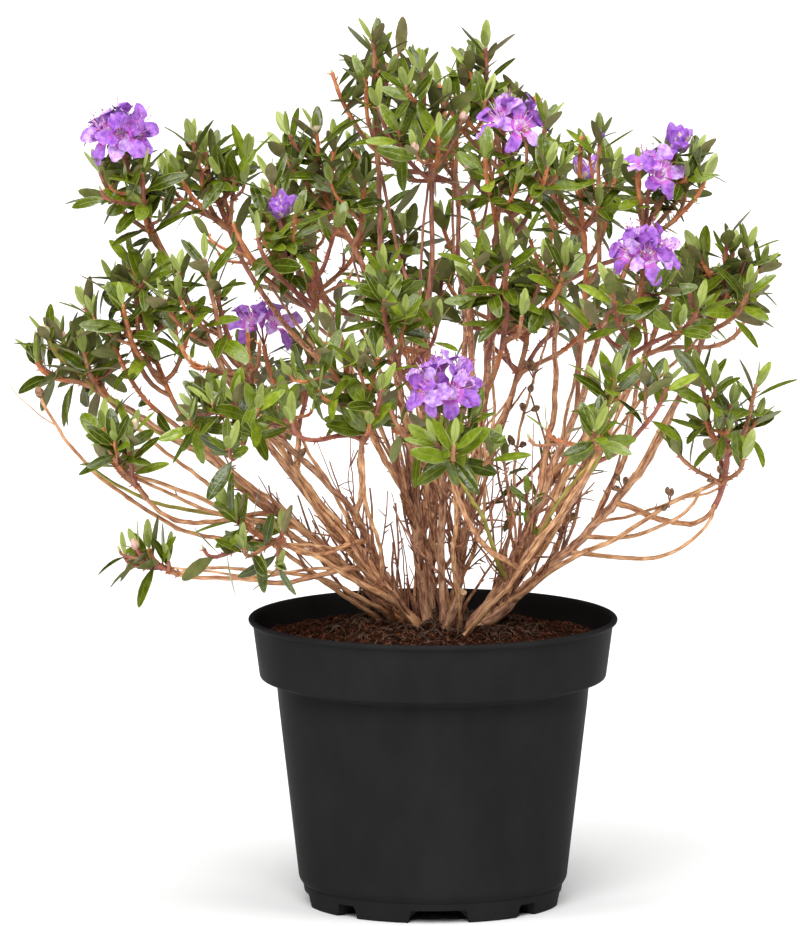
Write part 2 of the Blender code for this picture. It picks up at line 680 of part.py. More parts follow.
def add_twigs(name, runs, room, centres, cutters, materials):
    """The twigs of a mass, each side shoot left out where it would leave its space or touch."""
    pieces = []
    kept = {}
    for number, run in enumerate(runs):
        foot = SHOOT_RADIUS if number else MASS_STEM_RADIUS
        widths = [foot + (SHOOT_RADIUS - foot) * k / (len(run) - 1) for k in range(len(run))]
        if number:
            trial = tube("trial", run, widths, TWIG_SIDES, cutters, swell=CLEARANCE)
            free = room.is_free(name, None, *mesh_points(trial))
            bpy.data.objects.remove(trial)
            if not free or not in_own_space(name, run[-1], centres, LEAF_MARGIN):
                continue
        twig = tube("twig", run, widths, TWIG_SIDES, cutters, *materials)
        for face in twig.data.polygons:
            face.material_index = SHOOT
        pieces.append(twig)
        kept[number] = run
        room.add(name, number, *mesh_points(twig))
    return pieces, kept


def add_blades(name, number, frames, size, kind, room, centres, cutters, materials):
    """Leaves or petals of a shoot, each left out where it would leave its space or touch."""
    pieces = []
    for frame in frames:
        if not in_own_space(name, frame[0] + frame[1] * size[0], centres):
            continue
        if not room.is_free(name, number, *placed_blade(frame, size, swell=2 * CLEARANCE)):
            continue
        points, faces = placed_blade(frame, size)
        mesh = bpy.data.meshes.new("blade")
        mesh.from_pydata(points, [], faces)
        pieces.append(add_object("blade", mesh, cutters, *materials))
        for face in mesh.polygons:
            face.material_index = kind
        room.add(name, number, points, faces)
    return pieces


def fuse_mass(name, pieces, parts):
    """Join the twigs and blades of one mass into one body."""
    group = bpy.data.collections.new(name + "_pieces")
    bpy.context.scene.collection.children.link(group)
    for piece in pieces[1:]:
        group.objects.link(piece)
    body = bpy.data.objects.new(name, pieces[0].data)
    parts.objects.link(body)
    join = body.modifiers.new("Join", "BOOLEAN")
    join.operation = "UNION"
    join.operand_type = "COLLECTION"
    join.solver = "EXACT"
    join.collection = group
    settle(body)
    for piece in pieces:
        bpy.data.objects.remove(piece)
    bpy.data.collections.remove(group)
    keep_main_body(body)
    return body


def make_masses(limbs, parts, cutters, materials):
    """All foliage masses: first every twig, then the blades, each where it is free."""
    room = Room()
    for item in parts.objects:
        room.add(item.name, None, *mesh_points(item))
    centres = {}
    for name, (_, _, top, spread, _, _) in MASSES.items():
        centres[name] = (Vector(top) * MM - UP * 0.3 * spread * MM, spread * MM + LEAF_REACH)
    pieces = {}
    shoots = {}
    for name in MASSES:
        runs = mass_shoots(name, limbs)
        pieces[name], shoots[name] = add_twigs(name, runs, room, centres, cutters, materials)
    for name, (_, _, _, _, _, blossoms) in MASSES.items():
        chance = random.Random(name + " leaves")
        for number, run in shoots[name].items():
            petals = PETALS.get(blossoms.get(number), 0)
            frames = spiral_frames(run, chance, petals, PETAL_TILT, PETAL_STEP, PETAL_STEP)
            pieces[name] += add_blades(name, number, frames, PETAL_SIZE, PETAL, room, centres,
                                       cutters, materials)
            leaves = LEAVES_ON_SHOOT if number else LEAVES_ON_LEADER
            tilt = TILT_UNDER_BLOSSOM if petals else LEAF_TILT
            first = FIRST_LEAF + PETAL_STEP * petals
            frames = spiral_frames(run, chance, leaves, tilt, first, LEAF_STEP)
            pieces[name] += add_blades(name, number, frames, LEAF_SIZE, LEAF, room, centres,
                                       cutters, materials)
    for name, (limb, share, _, _, _, _) in MASSES.items():
        mass = fuse_mass("foliage_" + name, pieces[name], parts)
        if share < 1:
            seat_on_limb(mass, limbs[limb], cutters)


def main():
    """Build the pot, the soil, the limbs and the foliage."""
    for item in list(bpy.data.objects):
        bpy.data.objects.remove(item)
    parts = bpy.data.collections.new("potted_rhododendron")
    cutters = bpy.data.collections.new("cutters")
    bpy.context.scene.collection.children.link(parts)
    bpy.context.scene.collection.children.link(cutters)
    make_pot(parts, cutters)
    make_soil(parts)
    bark = make_material("bark", (0.30, 0.17, 0.09), 0.85)
    limbs = make_limbs(parts, cutters, bark)
    leaf = make_material("leaf", (0.07, 0.16, 0.03), 0.4)
    shoot = make_material("young_shoot", (0.36, 0.15, 0.06), 0.6)
    petal = make_material("petal", (0.30, 0.14, 0.70), 0.5)
    make_masses(limbs, parts, cutters, (leaf, shoot, petal))


main()
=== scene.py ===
"""Dwarf rhododendron in a round plastic nursery pot: the finish of its pot, soil, bark and leaves.

Metres, +Z up, the origin on the ground on the pot's axis, +Y to the back. The limbs and the
branching rule repeat the named sizes of the solids, so that each limb, twig and blossom grows
where its solid is, and finer twigs fill the same space.
"""

import itertools
import math
import random

import bpy
import numpy as np
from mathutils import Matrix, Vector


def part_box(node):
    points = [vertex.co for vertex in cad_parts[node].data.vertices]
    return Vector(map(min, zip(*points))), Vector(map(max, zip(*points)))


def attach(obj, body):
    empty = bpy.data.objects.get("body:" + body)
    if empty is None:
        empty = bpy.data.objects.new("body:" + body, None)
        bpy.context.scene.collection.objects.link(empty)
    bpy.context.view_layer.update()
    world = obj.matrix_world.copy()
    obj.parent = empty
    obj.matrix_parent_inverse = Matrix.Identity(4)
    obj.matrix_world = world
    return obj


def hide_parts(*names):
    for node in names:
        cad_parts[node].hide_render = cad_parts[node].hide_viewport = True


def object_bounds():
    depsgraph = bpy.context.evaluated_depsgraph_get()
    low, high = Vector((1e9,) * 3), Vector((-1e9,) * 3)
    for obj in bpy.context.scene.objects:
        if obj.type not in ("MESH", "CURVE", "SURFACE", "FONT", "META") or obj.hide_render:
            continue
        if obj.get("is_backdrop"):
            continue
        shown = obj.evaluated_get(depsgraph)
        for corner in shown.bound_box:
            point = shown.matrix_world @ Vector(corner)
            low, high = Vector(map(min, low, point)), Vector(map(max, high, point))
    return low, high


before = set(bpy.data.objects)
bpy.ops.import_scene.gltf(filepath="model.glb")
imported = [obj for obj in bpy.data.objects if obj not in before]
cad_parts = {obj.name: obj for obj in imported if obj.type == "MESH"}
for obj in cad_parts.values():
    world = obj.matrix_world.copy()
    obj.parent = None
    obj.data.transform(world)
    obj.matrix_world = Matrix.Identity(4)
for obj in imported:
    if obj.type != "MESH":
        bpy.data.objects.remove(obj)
cad_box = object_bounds()

# Pot
# A five litre nursery pot of thin black plastic, moulded in one piece. It has a rolled lip, a
# wide band under it, a crease above its foot, and eight notches round the foot that open into
# the drainage channels below its floor. It stands loose on the ground.
MM = 0.001
POT_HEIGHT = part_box("pot")[1].z
LIP_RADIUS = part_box("pot")[1].x - 0.3 * MM
LIP_ROUND = (1.8 * MM, 1.7 * MM)
LIP_FOOT = ((0.3, 3.7), (0.0, 4.4))
BAND_TOP_RADIUS = 112.2 * MM
BAND_FOOT_RADIUS = 108.1 * MM
BAND_FOOT_HEIGHT = 144.6 * MM
BAND_ROUND = (2.0 * MM, 2.4 * MM)
BODY_TOP_RADIUS = 97.4 * MM
BODY_TOP_HEIGHT = 136.5 * MM
SHELF_ROUND = 2.0 * MM
BODY_FOOT_RADIUS = 83.9 * MM
BODY_FOOT_HEIGHT = 19.5 * MM
SHOULDER_ROUND = 9.0 * MM
FOOT_RADIUS = 78.6 * MM
WALL = 1.8 * MM
FLOOR_HEIGHT = 10.6 * MM
CREASE_HEIGHT = 12.6 * MM
CREASE = ((0.1, 0.3), (0.7, 0.0), (0.5, -0.6))
CHANNEL_HEIGHT = 8.0 * MM
CHANNEL_PITCH = math.tau / 8
CHANNEL_TURN = math.radians(2.5)
WIDE_CHANNEL = (18.4 * MM, 11.5 * MM)
NARROW_CHANNEL = (7.6 * MM, 4.5 * MM)
NOTCH_SLANT = 1.2 * MM
CHANNEL_START = 40.0 * MM
CHANNEL_FADE = 8.0 * MM
POT_COLUMNS = 480
SHARP_EDGE = math.radians(50)
NOISE_RANGE = (0.35, 0.65)


def arc(centre, radii, start, end, count):
    """Points of a profile on an ellipse round a centre (radius, height) between two angles in
    degrees, anticlockwise where the end is larger."""
    angle = np.radians(np.linspace(start, end, count))
    return np.stack([centre[0] + radii[0] * np.cos(angle), centre[1] + radii[1] * np.sin(angle)], 1)


def turned_points(profile, columns):
    """A profile of (radius, height) carried round Z: x = r cos a, y = r sin a, for even a."""
    angle = np.linspace(0.0, math.tau, columns, endpoint=False)
    radius, height = profile[:, :1], profile[:, 1:]
    across = np.stack([radius * np.cos(angle), radius * np.sin(angle)], -1)
    return np.concatenate([across, np.repeat(height, columns, 1)[..., None]], -1)


def capped_grid(rows, columns):
    """Corner numbers of the triangles of a closed tube: two for each cell between its rings, then
    a fan to a point at its first end and one at its last. The rings are counted first and the two
    end points after them. The faces look out of a tube whose columns run anticlockwise about the
    direction in which its rings follow each other."""
    near = np.arange(columns)
    following = (near + 1) % columns
    ring = np.arange(rows - 1)[:, None] * columns
    beyond = ring + columns
    cells = [ring + near, ring + following, beyond + following,
             ring + near, beyond + following, beyond + near]
    last = (rows - 1) * columns
    end = np.full(columns, rows * columns)
    return np.concatenate([np.stack(cells, -1).reshape(-1, 3),
                           np.stack([end, following, near], 1),
                           np.stack([end + 1, last + near, last + following], 1)])


def closed_turn(points):
    """Points and outward triangles of a turned grid whose first and last row close on the axis."""
    poles = np.stack([points[0].mean(0), points[-1].mean(0)])
    poles[:, :2] = 0.0
    faces = capped_grid(len(points) - 1, points.shape[1])[:, ::-1]
    return np.concatenate([points[1:].reshape(-1, 3), poles]), faces


def repeated(faces, size, count):
    """The same faces for a number of like shapes of a given size, laid end to end."""
    return (faces[None] + size * np.arange(count)[:, None, None]).reshape(-1, 3)


def add_piece(name, points, faces, materials, index=None, slot="foliage", stands_for=(), **fields):
    """A new piece from arrays of points and triangles, riding on the plant's one body. The index
    deals its materials to the faces, and each further field is kept as a point attribute."""
    mesh = bpy.data.meshes.new(name)
    mesh.vertices.add(len(points))
    mesh.vertices.foreach_set("co", np.ascontiguousarray(points, np.float32).ravel())
    mesh.loops.add(faces.size)
    mesh.loops.foreach_set("vertex_index", np.ascontiguousarray(faces, np.int32).ravel())
    mesh.polygons.add(len(faces))
    mesh.polygons.foreach_set("loop_start", np.arange(0, faces.size, 3, dtype=np.int32))
    if index is not None:
        mesh.polygons.foreach_set("material_index", np.ascontiguousarray(index, np.int32))
    for material in materials:
        mesh.materials.append(material)
    mesh.update(calc_edges=True)
    mesh.validate()
    for field, values in fields.items():
        layer = mesh.attributes.new(field, "FLOAT_VECTOR", "POINT")
        layer.data.foreach_set("vector", np.ascontiguousarray(values, np.float32).ravel())
    mesh.shade_smooth()
    mesh.set_sharp_from_angle(angle=SHARP_EDGE)
    piece = bpy.data.objects.new(name, mesh)
    bpy.context.scene.collection.objects.link(piece)
    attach(piece, "root")
    if stands_for:
        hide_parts(*stands_for)


def set_inputs(node, values):
    """Sets the node's unlinked inputs by name."""
    for socket, value in values.items():
        node.inputs[socket].default_value = value


def link_all(tree, rows):
    """Joins outputs to inputs, each row as (node, output, node, input)."""
    for giver, output, taker, entry in rows:
        tree.links.new(giver.outputs[output], taker.inputs[entry])


def new_material(name, roughness=0.5, **sockets):
    """A Principled finish with its plain values on the shader's own sockets. Gives the material
    and its shader."""
    material = bpy.data.materials.new(name)
    material.use_nodes = True
    shader = material.node_tree.nodes["Principled BSDF"]
    set_inputs(shader, {"Roughness": roughness})
    set_inputs(shader, {socket.replace("_", " "): value for socket, value in sockets.items()})
    return material, shader


def mottle_group():
    """Mottle: soft noise at a given size, from Object coordinates or a given place, that blends
    two colours and two roughnesses and gives a height for a bump."""
    group = bpy.data.node_groups.new("mottle", "ShaderNodeTree")
    for way, kind, sockets in (("INPUT", "Vector", ("Place",)),
                               ("INPUT", "Float", ("Scale", "Detail")),
                               ("INPUT", "Color", ("Dark", "Light")),
                               ("INPUT", "Float", ("Low Roughness", "High Roughness")),
                               ("OUTPUT", "Color", ("Color",)),
                               ("OUTPUT", "Float", ("Roughness", "Height"))):
        for socket in sockets:
            group.interface.new_socket(socket, in_out=way, socket_type="NodeSocket" + kind)
    entry, leave, noise, spread, blend, rough = map(group.nodes.new, (
        "NodeGroupInput", "NodeGroupOutput", "ShaderNodeTexNoise", "ShaderNodeMapRange",
        "ShaderNodeMix", "ShaderNodeMix"))
    set_inputs(spread, {"From Min": NOISE_RANGE[0], "From Max": NOISE_RANGE[1]})
    blend.data_type = "RGBA"
    link_all(group, ((entry, "Place", noise, "Vector"), (entry, "Scale", noise, "Scale"),
                     (entry, "Detail", noise, "Detail"), (noise, "Fac", spread, "Value"),
                     (spread, "Result", blend, 0), (entry, "Dark", blend, 6),
                     (entry, "Light", blend, 7), (spread, "Result", rough, 0),
                     (entry, "Low Roughness", rough, 2), (entry, "High Roughness", rough, 3),
                     (blend, 2, leave, "Color"), (rough, 0, leave, "Roughness"),
                     (noise, "Fac", leave, "Height")))
    return group


MOTTLE = mottle_group()


def mottled_material(name, dark, light, scale, roughness, bump=0.0, detail=4.0, stretch=None,
                     field=None, **sockets):
    """A finish with the mottle group: two colours and two roughnesses blended by noise with so
    many waves a metre, and a bump of a given height in metres. The noise follows the piece's
    field where one is named, and is stretched by three factors."""
    material, shader = new_material(name, **sockets)
    tree = material.node_tree
    mottle = tree.nodes.new("ShaderNodeGroup")
    mottle.node_tree = MOTTLE
    set_inputs(mottle, {"Scale": scale, "Detail": detail, "Dark": (*dark, 1.0),
                        "Light": (*light, 1.0), "Low Roughness": roughness[0],
                        "High Roughness": roughness[1]})
    place = tree.nodes.new("ShaderNodeAttribute" if field else "ShaderNodeTexCoord")
    if field:
        place.attribute_name = field
    mapping = tree.nodes.new("ShaderNodeMapping")
    set_inputs(mapping, {"Scale": stretch or (1.0, 1.0, 1.0)})
    link_all(tree, ((place, "Vector" if field else "Object", mapping, "Vector"),
                    (mapping, "Vector", mottle, "Place"), (mottle, "Color", shader, "Base Color"),
                    (mottle, "Roughness", shader, "Roughness")))
    if bump:
        relief = tree.nodes.new("ShaderNodeBump")
        set_inputs(relief, {"Distance": bump})
        link_all(tree, ((mottle, "Height", relief, "Height"), (relief, "Normal", shader, "Normal")))
    return material


def channel_height(points, wide, narrow):
    """Height of the pot's underside at a place: in each channel, which runs along a radius, it
    rises from its half width on the ground to its full height at its half width at the top. Wide
    and narrow channels take turns."""
    x, y = points[..., 0], points[..., 1]
    turn = np.arctan2(y, x) - CHANNEL_TURN
    number = np.round(turn / CHANNEL_PITCH)
    aside = np.abs(np.hypot(x, y) * np.sin(turn - number * CHANNEL_PITCH))
    foot, top = (np.where(number % 2 == 0, wide[i], narrow[i]) for i in (0, 1))
    share = np.clip((foot - aside) / (foot - top), 0.0, 1.0)
    return CHANNEL_HEIGHT * np.sqrt(share)


def pot_points():
    """The pot's profile from the middle of its floor up its inner side, over the lip, down its
    outer side and in under it, turned; the underside and the foot then rise over the channels."""
    inside = np.array([(0.0, FLOOR_HEIGHT), (0.5 * FOOT_RADIUS, FLOOR_HEIGHT),
                       (FOOT_RADIUS - 4 * WALL, FLOOR_HEIGHT),
                       (BODY_FOOT_RADIUS - WALL, 1.15 * BODY_FOOT_HEIGHT),
                       (BODY_TOP_RADIUS - WALL, BODY_TOP_HEIGHT),
                       (BODY_TOP_RADIUS + WALL, BAND_FOOT_HEIGHT - 2 * WALL),
                       (BAND_FOOT_RADIUS - 2 * WALL, BAND_FOOT_HEIGHT),
                       (BAND_FOOT_RADIUS - WALL, BAND_FOOT_HEIGHT + 3 * WALL),
                       (BAND_TOP_RADIUS - WALL, POT_HEIGHT - 3 * WALL),
                       (BAND_TOP_RADIUS - 0.6 * WALL, POT_HEIGHT - WALL)])
    lip = arc((LIP_RADIUS - LIP_ROUND[0], POT_HEIGHT - LIP_ROUND[1]), LIP_ROUND, 150, -70, 12)
    under_lip = np.array([(BAND_TOP_RADIUS + out * MM, POT_HEIGHT - down * MM)
                          for out, down in LIP_FOOT])
    band = np.linspace(under_lip[1], (BAND_FOOT_RADIUS, BAND_FOOT_HEIGHT), 7)[1:-1]
    band_foot = arc((BAND_FOOT_RADIUS - BAND_ROUND[0], BAND_FOOT_HEIGHT), BAND_ROUND, 0, -80, 6)
    shelf_end = arc((BODY_TOP_RADIUS + SHELF_ROUND, BODY_TOP_HEIGHT + SHELF_ROUND),
                    (SHELF_ROUND, SHELF_ROUND), 100, 180, 5)
    body = np.linspace((BODY_TOP_RADIUS, BODY_TOP_HEIGHT),
                       (BODY_FOOT_RADIUS, BODY_FOOT_HEIGHT), 12)[1:-1]
    shoulder = arc((BODY_FOOT_RADIUS - SHOULDER_ROUND, BODY_FOOT_HEIGHT),
                   (SHOULDER_ROUND, SHOULDER_ROUND), 0, -44, 8)
    crease = np.array([(shoulder[-1][0] - inward * MM, CREASE_HEIGHT + up * MM)
                       for inward, up in CREASE])
    foot = np.linspace(crease[-1], (FOOT_RADIUS + 0.3 * MM, 0.5 * MM), 14)[1:]
    sole = np.array([(FOOT_RADIUS, 0.1 * MM), (FOOT_RADIUS - WALL, 0.0)])
    under = np.linspace((FOOT_RADIUS - 1.5 * WALL, 0.0), (1.0 * MM, 0.0), 24)
    profile = np.concatenate([inside, lip, under_lip, band, band_foot, shelf_end, body, shoulder,
                              crease, foot, sole, under])
    points = turned_points(profile, POT_COLUMNS)
    start = len(profile) - len(under) - len(sole) - len(foot)
    outer = points[start:start + len(foot) + len(sole)]
    notch = channel_height(outer, (WIDE_CHANNEL[0], WIDE_CHANNEL[0] - NOTCH_SLANT),
                           (NARROW_CHANNEL[0], NARROW_CHANNEL[0] - NOTCH_SLANT))
    outer[..., 2] = np.maximum(outer[..., 2], notch)
    sunk = points[-len(under):]
    reach = np.hypot(sunk[..., 0], sunk[..., 1])
    fade = np.clip((reach - CHANNEL_START) / CHANNEL_FADE, 0.0, 1.0)
    sunk[..., 2] = fade * channel_height(sunk, WIDE_CHANNEL, NARROW_CHANNEL)
    return points


black_plastic = mottled_material("black_plastic", (0.0150, 0.0147, 0.0150),
                                 (0.0188, 0.0184, 0.0188), 38.0, (0.42, 0.52), bump=0.00006,
                                 stretch=(1.0, 1.0, 0.5), Specular_IOR_Level=0.01)
add_piece("nursery_pot", *closed_turn(pot_points()), [black_plastic], slot="pot",
          stands_for=["pot"])

# Soil
# Dark peat with rusty fibres that fills the pot to a low mound, a finger's width under the lip.
# Crumbs and fibres lie loose on it, and shed bark gathers round the stems.
SOIL_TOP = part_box("soil")[1].z
SOIL_RADIUS = 108.3 * MM
SOIL_EDGE_HEIGHT = 165.0 * MM
SOIL_FLAT = 0.6 * 54.0 * MM
SOIL_SIDE = ((106.9 * MM, 156.0 * MM), (105.6 * MM, 151.0 * MM))
SOIL_LUMPS = ((110, 1.1), (210, 0.8), (390, 0.6), (760, 0.5), (1400, 0.4))
LUMP_TURNS = (0.7, 1.9)
LUMP_CROSSING = 0.83
LUMP_SHIFT = 2.1
SOIL_RINGS = 90
SOIL_COLUMNS = 240
LITTER_EDGE = SOIL_RADIUS - 1.5 * MM
CRUMBS = 4200
CRUMB_SIZE = (0.5 * MM, 2.0 * MM)
CRUMB_STRETCH = (0.6, 1.25)
CRUMB_PUSH = (0.7, 1.15)
CRUMB_SINK = 0.3
FIBRES = 2600
FIBRE_LENGTH = (2 * MM, 7 * MM)
FIBRE_RADIUS = (0.08 * MM, 0.2 * MM)
LITTER = 520
LITTER_LENGTH = (5 * MM, 17 * MM)
LITTER_RADIUS = (0.25 * MM, 0.9 * MM)
THREAD_STATIONS = 6
THREAD_BENDS = (-1.8, 1.8)
THREAD_THINNING = 0.6
THREAD_LIFTS = (0.35, 0.3)
THREAD_REST = 0.3 * MM
CAP_DEPTHS = (0.3, 0.6)
SLANT = (0.31, 0.95, 0.05)


def soil_level(x, y):
    """Height of the peat: a mound that falls from its flat top to its edge by half a cosine wave,
    with five crossed waves of hollows and lumps on it, a millimetre or two each."""
    share = np.clip((np.hypot(x, y) - SOIL_FLAT) / (SOIL_RADIUS - SOIL_FLAT), 0, 1)
    mound = SOIL_EDGE_HEIGHT + (SOIL_TOP - SOIL_EDGE_HEIGHT) * (0.5 + 0.5 * np.cos(math.pi * share))
    lumps = 0.0
    for step, (wave, size) in enumerate(SOIL_LUMPS):
        turn = LUMP_TURNS[0] + LUMP_TURNS[1] * step
        along = x * math.cos(turn) + y * math.sin(turn)
        aside = y * math.cos(turn) - x * math.sin(turn)
        lumps = lumps + (size * np.sin(wave * along + step)
                         * np.sin(wave * LUMP_CROSSING * aside + LUMP_SHIFT * step))
    return mound + lumps * MM


def soil_shape():
    """The mound as a disc of rings to its edge, then down its side and in to the axis."""
    top = np.stack([np.linspace(0.0, SOIL_RADIUS, SOIL_RINGS), np.zeros(SOIL_RINGS)], 1)
    side = np.array([*SOIL_SIDE, (0.0, SOIL_SIDE[-1][1])])
    points = turned_points(np.concatenate([top, side]), SOIL_COLUMNS)
    disc = points[:SOIL_RINGS]
    disc[..., 2] = soil_level(disc[..., 0], disc[..., 1])
    shape, faces = closed_turn(points)
    return shape, faces[:, ::-1]


def spread_on_soil(count, chance, reach, power=0.5):
    """Places on the peat at even odds over its area, or nearer to the stems at a higher power."""
    radius = reach * chance.random(count) ** power
    angle = chance.uniform(0.0, math.tau, count)
    x, y = radius * np.cos(angle), radius * np.sin(angle)
    return np.stack([x, y, soil_level(x, y)], 1)


def lump():
    """Corners and faces of a twenty-sided lump of unit radius: three crossed golden oblongs."""
    golden = 0.5 + 0.5 * math.sqrt(5.0)
    corners = [(x, y * golden, 0.0) for x in (-1, 1) for y in (-1, 1)]
    corners += [(0.0, x, y * golden) for x in (-1, 1) for y in (-1, 1)]
    corners += [(y * golden, 0.0, x) for x in (-1, 1) for y in (-1, 1)]
    corners = np.array(corners) / math.hypot(1.0, golden)
    near = np.linalg.norm(corners[:, None] - corners[None], axis=-1) < 1.1
    faces = []
    for a, b, c in itertools.combinations(range(12), 3):
        if near[a, b] and near[b, c] and near[a, c]:
            outward = np.cross(corners[b] - corners[a], corners[c] - corners[a]) @ corners[a]
            faces.append((a, b, c) if outward > 0 else (a, c, b))
    return corners, np.array(faces)


def crumb_shapes(places, chance, sizes, sink=CRUMB_SINK):
    """Lumps of random size and form at the places, each corner pushed in or out on its own."""
    corners, faces = lump()
    count = len(places)
    size = chance.uniform(*sizes, count)[:, None, None]
    stretch = chance.uniform(*CRUMB_STRETCH, (count, 1, 3))
    push = chance.uniform(*CRUMB_PUSH, (count, len(corners), 1))
    points = places[:, None] + corners[None] * size * stretch * push
    points[..., 2] += (0.5 - sink) * size[..., 0]
    return points.reshape(-1, 3), repeated(faces, len(corners), count)


def unit(vectors):
    """The vectors at unit length."""
    return vectors / np.linalg.norm(vectors, axis=-1, keepdims=True)


def spokes_round(side, other, angle):
    """Directions at angles round an axis, counted from one of two directions square to it."""
    return side * np.cos(angle)[..., None] + other * np.sin(angle)[..., None]


def tubes(paths, radii, sides, relief=0.0):
    """Closed tubes along many paths at once. A ring of even corners stands across each point of a
    path, at the radius there, on a frame that is carried along the path without twisting, and a
    point closes each end. Gives the points by tube, the faces of one, and the place along and
    round the tube that a bark's grain follows."""
    count, stations = paths.shape[:2]
    radii = np.broadcast_to(radii, (count, stations))
    along = unit(np.gradient(paths, axis=1))
    normal = np.zeros_like(paths)
    normal[:, 0] = unit(np.cross(along[:, 0], SLANT))
    for i in range(1, stations):
        carried = normal[:, i - 1]
        tilt = (carried * along[:, i]).sum(-1, keepdims=True)
        normal[:, i] = unit(carried - along[:, i] * tilt)
    angle = np.linspace(0.0, math.tau, sides, endpoint=False)
    spokes = spokes_round(normal[:, :, None], np.cross(along, normal)[:, :, None], angle)
    reach = radii[..., None] + relief
    rings = paths[:, :, None] + spokes * reach[..., None]
    ends = np.stack([paths[:, 0] - along[:, 0] * radii[:, :1] * CAP_DEPTHS[0],
                     paths[:, -1] + along[:, -1] * radii[:, -1:] * CAP_DEPTHS[1]], 1)
    points = np.concatenate([rings.reshape(count, -1, 3), ends], 1)
    steps = np.linalg.norm(np.diff(paths, axis=1), axis=-1)
    length = np.concatenate([np.zeros((count, 1)), np.cumsum(steps, 1)], 1)
    grain = np.stack(np.broadcast_arrays(np.cos(angle) * radii[..., None],
                                         np.sin(angle) * radii[..., None],
                                         length[..., None]), -1).reshape(count, -1, 3)
    grain = np.concatenate([grain, grain[:, :1], grain[:, -1:]], 1)
    return points, capped_grid(stations, sides), grain


def add_tubes(name, paths, radii, sides, materials, index=None, slot="foliage", stands_for=()):
    """A new piece of tubes along many paths, with the grain of each."""
    points, faces, grain = tubes(paths, radii, sides)
    add_piece(name, points.reshape(-1, 3), repeated(faces, points.shape[1], len(paths)), materials,
              index, slot, stands_for, grain=grain.reshape(-1, 3))


def curled_threads(places, chance, lengths, thickness, lift):
    """Paths and radii of short curled threads that lie at the places: each path turns and rises
    in one soft arc, and the thread grows thinner along it."""
    count = len(places)
    length = chance.uniform(*lengths, count)[:, None]
    heading = chance.uniform(0.0, math.tau, count)[:, None]
    share = np.linspace(0.0, 1.0, THREAD_STATIONS)
    angle = heading + chance.uniform(*THREAD_BENDS, count)[:, None] * share
    step = length / THREAD_STATIONS
    x = places[:, :1] + np.cumsum(step * np.cos(angle), 1)
    y = places[:, 1:2] + np.cumsum(step * np.sin(angle), 1)
    rise = chance.uniform(0.0, lift, count)[:, None] * length * np.sin(math.pi * share)
    reach = np.hypot(x, y)
    pull = np.where(reach < LITTER_EDGE, 1.0, LITTER_EDGE / reach)
    x, y = x * pull, y * pull
    radii = chance.uniform(*thickness, count)[:, None] * (1.0 - THREAD_THINNING * share)
    return np.stack([x, y, soil_level(x, y) + rise + THREAD_REST], -1), radii


peat = mottled_material("peat", (0.002, 0.0008, 0.0004), (0.042, 0.013, 0.006), 420.0, (0.85, 1.0),
                        bump=0.0012, detail=9.0, Specular_IOR_Level=0.1)
peat_crumb = mottled_material("peat_crumb", (0.005, 0.002, 0.001), (0.065, 0.022, 0.010), 300.0,
                              (0.85, 1.0), bump=0.0004, Specular_IOR_Level=0.1)
rusty_fibre = mottled_material("rusty_fibre", (0.06, 0.014, 0.005), (0.42, 0.12, 0.045), 160.0,
                               (0.8, 0.95))
shed_bark = mottled_material("shed_bark", (0.022, 0.011, 0.007), (0.15, 0.08, 0.045), 260.0,
                             (0.75, 0.95), bump=0.0003)
chance = np.random.default_rng(11)
add_piece("peat_mound", *soil_shape(), [peat], slot="soil", stands_for=["soil"])
places = spread_on_soil(CRUMBS, chance, SOIL_RADIUS - 3 * MM)
add_piece("peat_crumbs", *crumb_shapes(places, chance, CRUMB_SIZE), [peat_crumb], slot="soil")
places = spread_on_soil(FIBRES, chance, SOIL_RADIUS - 4 * MM)
threads = curled_threads(places, chance, FIBRE_LENGTH, FIBRE_RADIUS, THREAD_LIFTS[0])
add_tubes("peat_fibres", *threads, 3, [rusty_fibre], slot="soil")
places = spread_on_soil(LITTER, chance, 0.6 * SOIL_RADIUS, 0.8)
threads = curled_threads(places, chance, LITTER_LENGTH, LITTER_RADIUS, THREAD_LIFTS[1])
add_tubes("shed_bark_litter", *threads, 4, [shed_bark], slot="soil")

# Stems and boughs
# Woody stems that rise from the peat with a root flare and fork into thinner boughs. Old bark is
# tan and splits into long fibres; younger bark is redder and smoother. All are one growth.
GAP = 0.3 * MM
STEMS = {
    "far_left": ((-24, 2), (-196, -6, 315), 52, 32, 8.0, 3.2),
    "left": ((-13, -15), (-101, -64, 304), 62, 32, 6.8, 3.2),
    "left_tall": ((-17, 19), (-158, -8, 392), 50, 66, 6.4, 3.2),
    "centre_left": ((-4, 3), (-46, 18, 403), 82, 64, 8.4, 3.4),
    "centre": ((7, -14), (-1, -30, 452), 80, 88, 6.0, 3.0),
    "centre_right": ((12, 15), (42, 4, 452), 80, 86, 7.6, 3.2),
    "right_tall": ((30, 10), (119, -6, 398), 58, 68, 7.2, 3.4),
    "far_right": ((32, -9), (166, 2, 350), 40, 74, 8.6, 3.4),
    "front": ((22, -28), (97, -94, 286), 52, 56, 5.4, 3.0),
    "back": ((-1, 32), (-4, 128, 312), 62, 58, 7.2, 3.4),
}
